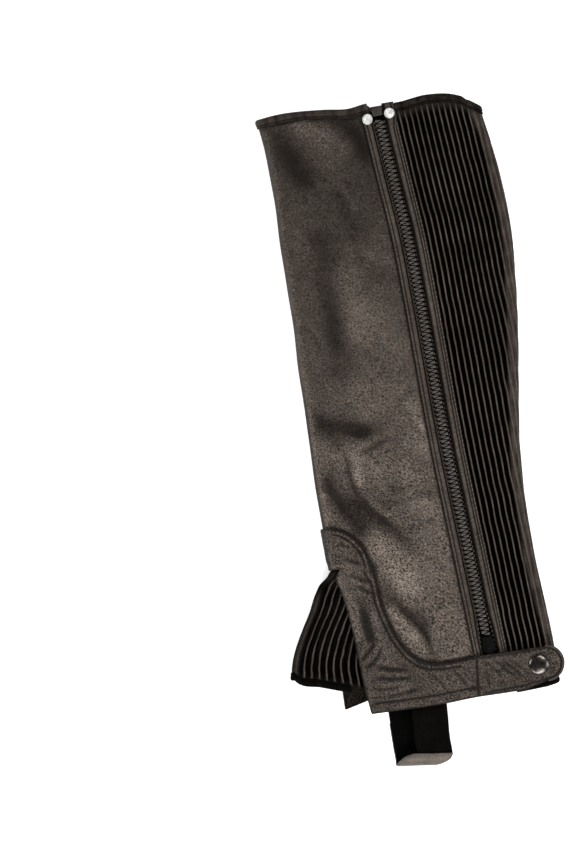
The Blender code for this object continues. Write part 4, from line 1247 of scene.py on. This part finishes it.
def make_teeth():
    """Moulded teeth, wide at the tape and narrow where they mesh."""
    middle = np.array([-1.6, 0])
    rings = []
    for height, size in ((-1.5, 1.0), (0.2, 1.0), (0.5, 0.9), (0.6, 0.7)):
        rings.append(stacked(*((TOOTH - middle) * size + middle).T, height))
    frames = []
    count = int((CHAIN_HIGH - CHAIN_LOW) / TOOTH_PITCH)
    for side, lead in ((1, 0.75), (-1, 0.25)):
        ys = CHAIN_LOW + (np.arange(count) + lead) * TOOTH_PITCH
        points = chain_place(0, ys)
        alongs = unit(chain_place(0, ys + 0.5) - points)
        for point, along, up in zip(points, alongs, normals_of(chain_place, 0, ys, 0.0)):
            frames.append((point, np.array([np.cross(along, up) * side, along * side, up])))
    add_piece("zip_chain", *copies(*round_faces(rings), frames), "teeth", None, 35)


# The strip on the inner side, and the strap


def strip_ends(inwards):
    top = mix(243.5, 237.0, smooth((STRIP_FRONT - inwards) / (STRIP_FRONT - STRIP_BACK)))
    return INNER_BOTTOM.read("y", SECTIONS.read("back", -197.0) - inwards), top


def make_inner_strip():
    """The flat strip over both panels' edges, with two double rows of stitches."""
    across, height, tone = np.array(STRIP_SECTION).T
    y = mix(*strip_ends(across), np.linspace(0, 1, 260)[:, None])
    wrinkles = np.minimum(0.5 * waves(across * 2.2 + y * 0.5, y * 0.8, 71, 9) - 0.15, 0)
    wrinkles = wrinkles * smooth(np.minimum(across - 16.8, 25.8 - across) / 1.5)
    top = strip_place(across, y, height + wrinkles)
    # Painted shade in the strip's wrinkles
    slab("inner_strip", top, strip_place(across, y, -STRIP), "trim", np.clip(tone + 1.6 * wrinkles, 0.08, 1))
    rows = []
    for inwards in STRIP_ROWS:
        low, high = strip_ends(inwards)
        rows.append((straight([(inwards, low + 3), (inwards, high - 3)], 2.0), -0.25))
    stitch_rows("strip_stitches", strip_place, rows)


def strap_stations():
    """Left edge, right edge, height and turn along the loop, from under the hem to the patch."""
    top_z = STRAP_LOW_Z + 2 * STRAP_LOOP_RADIUS
    sides = np.linspace(STRAP_TOP_X - STRAP_HALF, STRAP_TOP_X + STRAP_HALF, 7)
    stations = []
    for y, share in ((-187, 0), (-196, 0), (-206, 0), (-214, 0.25), (-222, 0.55), (-231, 0.85)):
        lowest = outer_z(sides, np.full(7, max(y, BOTTOM_Y))).min()
        under_hem = lowest - LEATHER - GAP - STRAP / 2 - 0.15
        x = mix(STRAP_TOP_X, STRAP_LOW_X, share)
        stations.append((x - STRAP_HALF, y, x + STRAP_HALF, y, mix(under_hem, top_z, share), 0.0))
    stations.append((-46.0, -238.2, -17.8, -242.6, top_z, 0.0))
    for angle, left, right in STRAP_TURN:
        down = STRAP_LOOP_RADIUS * math.sin(math.radians(angle))
        z = STRAP_LOW_Z + STRAP_LOOP_RADIUS + STRAP_LOOP_RADIUS * math.cos(math.radians(angle))
        stations.append((left, STRAP_TURN_LEFT_Y - down, right, STRAP_TURN_RIGHT_Y - down, z, angle))
    for y in (-234, -226, -214, -200, -186, -170, -153):
        x = mix(-47, -46, (y + 236) / 83)
        stations.append((x - STRAP_HALF, y, x + STRAP_HALF, y, STRAP_LOW_Z, 180.0))
    return np.array(stations, float)


def strap_track():
    """The stations' smooth line, and each station's distance along it."""
    stations = strap_stations()
    left_x, left_y, right_x, right_y, z, _ = stations.T
    at = lengths_along(stacked((left_x + right_x) / 2, (left_y + right_y) / 2, z))
    return Table("at left_x left_y right_x right_y z turn", np.column_stack([at, stations])), at


def band(name, track, first, last, start, wall, wider, look, wavy, step):
    """A flat band along the strap's line, thinner at its two edges, with a wavy front end if asked."""
    across = np.array([-1, -0.985, -0.94, -0.86, *np.linspace(-0.75, 0.75, 21), 0.86, 0.94, 0.985, 1])
    begin = first + wavy * (0.3 + 0.5 * trough(across, 0.5))
    along = mix(begin, last, np.linspace(0, 1, math.ceil((last - first) / step))[:, None])
    side = across * (1 + wider / STRAP_HALF)
    thin = 0.42 * smooth((np.abs(across) - 0.9) / 0.1) * wall
    ripple = 0.08 * waves(side * STRAP_HALF, along, 81, 14)
    turn = np.radians(track.read("turn", along))
    x = mix(track.read("left_x", along), track.read("right_x", along), (side + 1) / 2)
    y = mix(track.read("left_y", along), track.read("right_y", along), (side + 1) / 2)
    z = track.read("z", along)
    faces = []
    for out in (start + wall - thin + ripple, start + thin + ripple):
        faces.append(stacked(x, y - np.sin(turn) * out, z + np.cos(turn) * out)[:, ::-1])
    ends = smooth(np.minimum(along - begin, last - along) / 1.2)
    # Painted shade towards the band's two ends and along its thinned edges
    tone = mix(0.45, 1.0, ends) * np.where(thin > 0, 0.7, 1.0)
    slab(name, *faces, look, tone[:, ::-1])


def make_foot_strap():
    """The elastic loop under the foot, its leather sleeve, and the patch that holds it."""
    track, at = strap_track()
    band("foot_strap", track, 0, at[-1], -STRAP / 2, STRAP, 0.0, "webbing", 0, 1.4)
    first, last = at[SLEEVE_FIRST], at[SLEEVE_LAST]
    band("strap_sleeve", track, first, last, STRAP / 2 + GAP, OVERLAY, 0.6, "sleeve", 1, 1.0)
    make_patch()


def make_patch():
    """The square patch, stitched round and across."""
    right, up = np.meshgrid(np.linspace(0, 1, 54), np.linspace(0, 1, 54))
    x = PATCH_RIGHT - PATCH_SIZE * right
    y = PATCH_TOP - PATCH_SIZE * (1 - up)
    near, far = PATCH_INSET, PATCH_SIZE - PATCH_INSET
    corners = [(near, near), (far, near), (far, far), (near, far), (near, near)]
    lines = [corners, corners[:3:2], corners[1:4:2]]
    seams = [(PATCH_RIGHT, PATCH_TOP) - straight(line, 1.0) for line in lines]
    flat = stacked(x.ravel(), y.ravel())
    away = np.min([nearest(flat, seam) for seam in seams], axis=0).reshape(x.shape)
    rim = np.minimum.reduce([right, 1 - right, up, 1 - up]) * PATCH_SIZE
    level = -0.35 * trough(away, 0.8) - 0.35 * trough(rim, 0.7) - 0.04 * (1 + waves(x, y, 91, 6))
    # Painted shade in the stitch grooves and along the patch's edge
    tone = np.clip(1.1 - trough(away, 0.9) - trough(rim, 1.0), 0, 1)
    slab("strap_patch", patch_place(x, y, level), patch_place(x, y, -OVERLAY), "trim", tone)
    stitch_rows("patch_stitches", patch_place, [(seam, -0.22) for seam in seams], pitch=3.0)


# Metal


def turned(name, profile, x, y, out, look, steps=96):
    """A round piece: a profile of (radius, height) from its rim to its middle."""
    up = normals_of(outer_place, [x], [y], np.zeros(1))[0]
    along = np.array([zip_x(y + 20) - zip_x(y), 20, 0])
    along = unit(along - up * along.dot(up))
    axes = np.array([np.cross(along, up), along, up])
    centre = outer_place([x], [y], [out])[0]
    cosines, sines = circle(steps)
    rings = [stacked(radius * cosines, radius * sines, height) @ axes + centre for radius, height in profile]
    add_piece(name, *round_faces(rings), look, None, 40)


def make_metal():
    """Two rivet caps beside the top of the zip, the snap's cap, and the solids that stay."""
    for name, (x, y) in RIVETS.items():
        turned(name, RIVET_PROFILE, x, y, 2 * GAP + OVERLAY + 0.05, "nickel")
    edge, foot = SNAP_RIM[-1]
    radii = np.linspace(6.6, 0.02, 16)
    dome = stacked(radii, foot + SNAP_DOME * (1 - (radii / edge) ** 2) ** 0.8)
    level = GAP + tab_rise(SNAP[0]) + LEATHER + GAP + 0.05
    turned("snap_cap", [*SNAP_RIM, *dome], *SNAP, level, "dark_metal", 128)
    bevelled("zip_box", 0.5, "box")
    bevelled("zip_slider", 0.45, "enamel")
    bevelled("zip_pull", 0.3, "enamel")
    bevelled("snap_socket", 0.2, "dark_metal")
    bevelled("snap_stud", 0.2, "dark_metal")


def bevelled(name, width, look):
    """A solid that stays: rounded edges and its real finish."""
    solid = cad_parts[name]
    solid.data.materials.clear()
    solid.data.materials.append(LOOKS[look])
    weld = solid.modifiers.new("weld", "WELD")
    weld.merge_threshold = 0.00001
    bevel = solid.modifiers.new("edges", "BEVEL")
    bevel.width = width * MM
    bevel.segments = 3
    bevel.limit_method = "ANGLE"
    bevel.angle_limit = math.radians(40)


# Materials


class Nodes:
    """A Principled material whose nodes are added one by one."""

    def __init__(self, name):
        self.material = bpy.data.materials.new(name)
        self.material.use_nodes = True
        self.tree = self.material.node_tree
        self.shader = self.tree.nodes["Principled BSDF"]

    def fill(self, node, sockets):
        """Links or values for a node's sockets, by name or number."""
        for key, value in sockets.items():
            if hasattr(value, "node"):
                self.tree.links.new(value, node.inputs[key])
            else:
                node.inputs[key].default_value = value

    def add(self, kind, sockets, **settings):
        node = self.tree.nodes.new("ShaderNode" + kind)
        for key, value in settings.items():
            setattr(node, key, value)
        self.fill(node, sockets)
        return node

    def times(self, value, *others, clamp=False):
        for other in others:
            value = self.add("Math", {0: value, 1: other}, operation="MULTIPLY", use_clamp=clamp).outputs[0]
        return value

    def plus(self, value, *others):
        for other in others:
            value = self.add("Math", {0: value, 1: other}, operation="ADD").outputs[0]
        return value

    def ramp(self, value, low, high, start=0.0, end=1.0):
        sockets = dict(enumerate((value, low, high, start, end)))
        return self.add("MapRange", sockets, clamp=True).outputs[0]

    def colour(self, factor, first, second):
        sockets = {0: factor, 6: (*first, 1), 7: (*second, 1)}
        return self.add("Mix", sockets, data_type="RGBA").outputs[2]

    def place(self, turn=0.0, stretch=(1, 1, 1)):
        coordinates = self.add("TexCoord", {}).outputs["Object"]
        sockets = {"Vector": coordinates, "Rotation": (0, 0, math.radians(turn)), "Scale": stretch}
        return self.add("Mapping", sockets, vector_type="TEXTURE").outputs[0]

    def noise(self, place, size, detail=3.0, roughness=0.55):
        sockets = {"Vector": place, "Scale": 1 / (size * MM), "Detail": detail, "Roughness": roughness}
        return self.add("TexNoise", sockets).outputs[0]

    def bands(self, place, direction, profile, size, distortion):
        sockets = {"Vector": place, "Scale": 0.314 / (size * MM), "Distortion": distortion, "Detail": 1.0}
        return self.add("TexWave", sockets, bands_direction=direction, wave_profile=profile).outputs["Fac"]

    def tone(self):
        return self.add("Attribute", {}, attribute_name="tone").outputs["Fac"]

    def finished(self, height, distance, colour, rough, gloss, **others):
        """The material, with its shader's main sockets set and a bumped face."""
        bump = self.add("Bump", {"Height": height, "Distance": distance * MM, "Strength": 1.0})
        sockets = {"Base Color": colour, "Roughness": rough, "Specular IOR Level": gloss}
        self.fill(self.shader, {**sockets, "Normal": bump.outputs[0], **others})
        return self.material


def pebbles(nodes, size, turn):
    """Leather grain: raised pebbles parted by fine creases, each a little lighter or darker."""
    place = nodes.place(turn, (1.5, 1.0, 1.0))
    bend = nodes.add("TexNoise", {"Vector": place, "Scale": 1 / (size * 1.7 * MM), "Detail": 2.0})
    wander = nodes.add("VectorMath", {0: bend.outputs["Color"], "Scale": size * 1.1 * MM}, operation="SCALE")
    moved = nodes.add("VectorMath", {0: place, 1: wander.outputs[0]}, operation="ADD")
    cells = nodes.add("TexVoronoi", {"Vector": moved.outputs[0], "Scale": 1 / (size * MM)}, feature="F1")
    raised = nodes.ramp(cells.outputs["Distance"], 0.7, 0.2)
    return raised, nodes.ramp(cells.outputs["Color"], 0, 1, 0.85, 1.15)


def leather_look(name, light, size, depth, gloss, turn, contrast=1.0, shine=(0.26, 0.34), dark=BLACK):
    """Grained leather: fine oblique wrinkles higher up, pebbles lower down, dark creases."""
    nodes = Nodes(name)
    grain, own = pebbles(nodes, size, turn)
    place = nodes.place()
    level = nodes.add("SeparateXYZ", {0: place}).outputs["Y"]
    pebbly = nodes.ramp(level, 0.06, -0.05, 0.3, 1.0)
    cloudy = nodes.noise(place, 30, 3)
    wrinkles = nodes.noise(nodes.place(turn, (3.6, 1, 1)), 0.5, 1.0, 0.5)
    dents = nodes.ramp(nodes.noise(nodes.place(turn, (1.6, 1, 1)), 7.0, 2), 0.3, 0.7, 0.82, 1.16)
    fine = nodes.noise(place, 0.5, 2)
    shade = nodes.times(nodes.ramp(cloudy, 0.32, 0.68, 0.8, 1.15), own, dents)
    cells = nodes.times(nodes.ramp(grain, 0, 1, -0.34 * contrast, 0.3 * contrast), pebbly)
    lines = nodes.ramp(wrinkles, 0.36, 0.66, -0.85 * contrast, 0.95 * contrast)
    lines = nodes.times(lines, nodes.ramp(pebbly, 0.3, 1, 0.85, 1.1))
    toned = nodes.times(shade, nodes.plus(cells, lines, 1.0), nodes.tone())
    colour = nodes.colour(nodes.times(toned, TONE_SHARE, clamp=True), dark, light)
    rough = nodes.plus(nodes.ramp(cloudy, 0.3, 0.7, *shine), nodes.ramp(grain, 0, 1, 0.08, 0))
    height = nodes.plus(nodes.times(grain, 0.5, pebbly), wrinkles, nodes.times(fine, 0.12))
    return nodes.finished(height, depth, colour, rough, gloss, **{"Specular Tint": (1.0, 0.87, 0.76, 1.0)})


def woven_look(name, light, size, depth):
    """Elastic webbing: two crossed sets of small ribs, with stray light fibres."""
    nodes = Nodes(name)
    place = nodes.place(-8)
    weave = nodes.times(*(nodes.bands(place, direction, "SIN", size, 1.2) for direction in "XY"))
    fibres = nodes.noise(place, 0.45, 3, 0.7)
    patchy = nodes.noise(place, 9, 2)
    fibre = nodes.times(nodes.ramp(fibres, 0.52, 0.72), nodes.ramp(patchy, 0.4, 0.65, 0.15, 1))
    toned = nodes.times(nodes.plus(nodes.times(weave, 0.4), fibre), nodes.tone(), clamp=True)
    height = nodes.plus(weave, nodes.times(fibres, 0.5))
    return nodes.finished(height, depth, nodes.colour(toned, BLACK, light), 0.8, 0.03)


def metal_look(name, colour, rough, hatch=0.0, metallic=1.0, gloss=0.5):
    """Plated or enamelled metal with fine wear, and a cross-hatched face if asked."""
    nodes = Nodes(name)
    place = nodes.place(30)
    scuffs = nodes.noise(nodes.place(20, (1, 6, 1)), 0.7, 3)
    patches = nodes.ramp(nodes.noise(place, 3.0, 2), 0.35, 0.65)
    wear_and_painted_sheen = nodes.colour(patches, [value * 0.6 for value in colour], colour)
    height = nodes.times(scuffs, 0.15)
    for direction in "XY" if hatch else "":
        height = nodes.plus(height, nodes.bands(place, direction, "TRI", hatch, 0.0))
    shine = nodes.ramp(scuffs, 0.3, 0.75, rough, rough + 0.16)
    return nodes.finished(height, 0.12 if hatch else 0.02, wear_and_painted_sheen, shine, gloss, Metallic=metallic)


def thread_look(name, dark, light):
    """Twisted thread."""
    nodes = Nodes(name)
    twist = nodes.noise(nodes.place(35, (1, 3, 1)), 0.35, 2)
    colour = nodes.colour(nodes.ramp(twist, 0.35, 0.65), dark, light)
    return nodes.finished(twist, 0.06, colour, nodes.ramp(twist, 0.3, 0.7, 0.5, 0.7), 0.15)


def floor_look():
    nodes = Nodes("pale_floor")
    mottle = nodes.noise(nodes.place(), 60, 2)
    seen = nodes.add("LightPath", {}).outputs["Is Camera Ray"]
    nodes.fill(nodes.shader, {
        "Base Color": nodes.colour(mottle, (0.9, 0.9, 0.9), (0.92, 0.92, 0.92)),
        "Roughness": 0.9,
        "Specular IOR Level": 0.0,
        "Emission Color": (1.0, 1.0, 1.0, 1.0),
        "Emission Strength": nodes.times(seen, 0.5),
    })
    return nodes.material


LOOKS = {
    "leather": leather_look("leather_grain", (0.262, 0.213, 0.178), 0.85, 0.45, 0.12, -47),
    "flesh": leather_look("leather_flesh", (0.042, 0.033, 0.028), 0.8, 0.1, 0.05, -58, shine=(0.7, 0.9)),
    "trim": leather_look("leather_trim", (0.232, 0.187, 0.159), 1.2, 0.2, 0.06, 10, 0.45),
    "sleeve": leather_look("leather_sleeve", (0.36, 0.305, 0.262), 0.9, 0.12, 0.2, 0, 0.4, dark=SLEEVE_DARK),
    "hem": leather_look("hem_leather", (0.067, 0.054, 0.045), 0.8, 0.3, 0.03, -58, shine=(0.6, 0.8)),
    "ribbed": leather_look("ribbed_leather", (0.4, 0.325, 0.275), 0.9, 0.1, 0.03, 5, 0.25),
    "gusset": leather_look("gusset_leather", (0.28, 0.23, 0.195), 0.9, 0.1, 0.03, 30, 0.3),
    "webbing": woven_look("elastic_webbing", (0.012, 0.01, 0.008), 0.9, 0.2),
    "tape": woven_look("zip_tape", (0.008, 0.0075, 0.007), 0.5, 0.08),
    "teeth": metal_look("moulded_teeth", (0.085, 0.073, 0.064), 0.3, metallic=0.0, gloss=0.3),
    "box": metal_look("moulded_box", (0.04, 0.033, 0.028), 0.35, metallic=0.0, gloss=0.3),
    "nickel": metal_look("nickel_plate", (0.72, 0.72, 0.7), 0.4, hatch=0.45),
    "dark_metal": metal_look("dark_nickel", (0.11, 0.1, 0.09), 0.2),
    "enamel": metal_look("black_enamel", (0.003, 0.003, 0.003), 0.3, metallic=0.0, gloss=0.1),
    "thread": thread_look("waxed_thread", (0.002, 0.002, 0.002), (0.03, 0.025, 0.021)),
    # The same thread painted lighter: a painted highlight on the stitches beside the zip
    "pale_thread": thread_look("thread_painted_lit", (0.07, 0.058, 0.05), (0.22, 0.185, 0.155)),
}

# The slot of each piece that stands for a CAD node
SLOTS = {
    "ankle_guard": "leather", "main_panel": "leather", "strap_patch": "leather", "strap_sleeve": "leather",
    "inner_strip": "trim", "top_binding_leather": "trim", "top_binding_stretch": "trim",
    "zip_facing_back": "trim", "zip_facing_front": "trim", "stretch_panel": "ribbed", "gusset": "ribbed",
    "bottom_binding": "webbing", "foot_strap": "webbing", "gusset_binding": "webbing",
    "zip_tape_back": "tape", "zip_tape_front": "tape", "zip_chain": "coil",
    "rivet_back": "nickel", "rivet_front": "nickel", "snap_cap": "dark_metal",
}

# What each sheet was cut to: width, length, flat area or None, how it is held, what it rests on
SHEETS = {
    "main_panel": (0.272, 0.455, 0.110, "folded", ()),
    "ankle_guard": (0.225, 0.145, 0.0140, "folded", ("main_panel",)),
    "stretch_panel": (0.135, 0.450, 0.054, "gathered", ()),
    "gusset": (0.120, 0.095, 0.0070, "folded", ("main_panel",)),
    "zip_facing_front": (0.0105, 0.445, 0.0036, "laid", ("main_panel",)),
    "zip_facing_back": (0.0110, 0.452, 0.0040, "laid", ("stretch_panel",)),
    "zip_tape_front": (0.0105, 0.446, 0.0043, "laid", ("main_panel",)),
    "zip_tape_back": (0.0105, 0.447, 0.0043, "laid", ("stretch_panel",)),
    "inner_strip": (0.026, 0.440, None, "laid", ("main_panel", "stretch_panel")),
    "top_binding_leather": (0.014, 0.240, None, "folded", ("main_panel",)),
    "top_binding_stretch": (0.014, 0.090, None, "folded", ("stretch_panel",)),
    "bottom_binding": (0.014, 0.045, None, "folded", ("stretch_panel",)),
    "gusset_binding": (0.014, 0.080, None, "folded", ("gusset",)),
    "foot_strap": (0.0268, 0.165, None, "folded", ("main_panel",)),
    "strap_sleeve": (0.028, 0.050, None, "folded", ("foot_strap",)),
    "strap_patch": (0.0265, 0.0265, None, "laid", ("main_panel",)),
}


def state_sheets():
    for name, (width, length, area, held, rests) in SHEETS.items():
        list(rests)


# Stage


def make_stage():
    """A pale floor, a camera straight above, and soft studio light."""
    scene = bpy.context.scene
    camera = bpy.data.cameras.new("camera")
    camera.sensor_fit = "VERTICAL"
    camera.sensor_height = SENSOR
    camera.lens = SENSOR * CAMERA_HEIGHT / (PHOTO_LENGTH * MM)
    camera.clip_end = 20
    view = link("camera", camera)
    view.location = (PHOTO_MIDDLE[0] * MM, PHOTO_MIDDLE[1] * MM, CAMERA_HEIGHT + PICTURE_PLANE * MM)
    view.rotation_euler = (0, 0, math.radians(PHOTO_TURN))
    scene.camera = view

    mesh = bpy.data.meshes.new("floor")
    corners = np.array([(-1, -1, 0), (1, -1, 0), (1, 1, 0), (-1, 1, 0)]) * FLOOR_HALF + (0, 0, FLOOR_Z)
    mesh.from_pydata(corners.tolist(), [], [(0, 1, 2, 3)])
    mesh.materials.append(floor_look())
    floor = link("floor", mesh)
    floor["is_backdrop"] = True

    for name, (place, size, power) in LIGHTS.items():
        area_light(name, place, size, power)
    make_room()
    scene.view_settings.view_transform = "Standard"


def make_room():
    """A dim room round the soft boxes, which shows pale behind the floor."""
    world = bpy.data.worlds.new("studio")
    world.use_nodes = True
    tree = world.node_tree
    room = tree.nodes["Background"]
    room.inputs["Color"].default_value = (1.0, 0.99, 0.98, 1)
    room.inputs["Strength"].default_value = 0.05
    wall = tree.nodes.new("ShaderNodeBackground")
    wall.inputs["Strength"].default_value = 1.0
    seen = tree.nodes.new("ShaderNodeLightPath")
    blend = tree.nodes.new("ShaderNodeMixShader")
    tree.links.new(seen.outputs["Is Camera Ray"], blend.inputs[0])
    tree.links.new(room.outputs[0], blend.inputs[1])
    tree.links.new(wall.outputs[0], blend.inputs[2])
    tree.links.new(blend.outputs[0], tree.nodes["World Output"].inputs[0])
    bpy.context.scene.world = world


def area_light(name, place, size, power):
    """A soft box that faces the object, placed from the picture's own axes."""
    light = bpy.data.lights.new(name, "AREA")
    light.shape = "RECTANGLE"
    light.size, light.size_y = size
    light.energy = power
    item = link(name, light)
    item.location = Matrix.Rotation(math.radians(PHOTO_TURN), 4, "Z") @ Vector(place)
    item.rotation_euler = (-item.location).to_track_quat("-Z", "Y").to_euler()


make_main_panel()
make_ankle_guard()
make_stretch_panel()
make_gusset()
make_top_bindings()
make_zip()
make_inner_strip()
make_foot_strap()
make_metal()
state_sheets()
make_stage()

bpy.context.view_layer.update()
boxes = {"cad": CAD_BOX, "visual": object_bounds()}
{key: [list(corner) for corner in box] for key, box in boxes.items()}
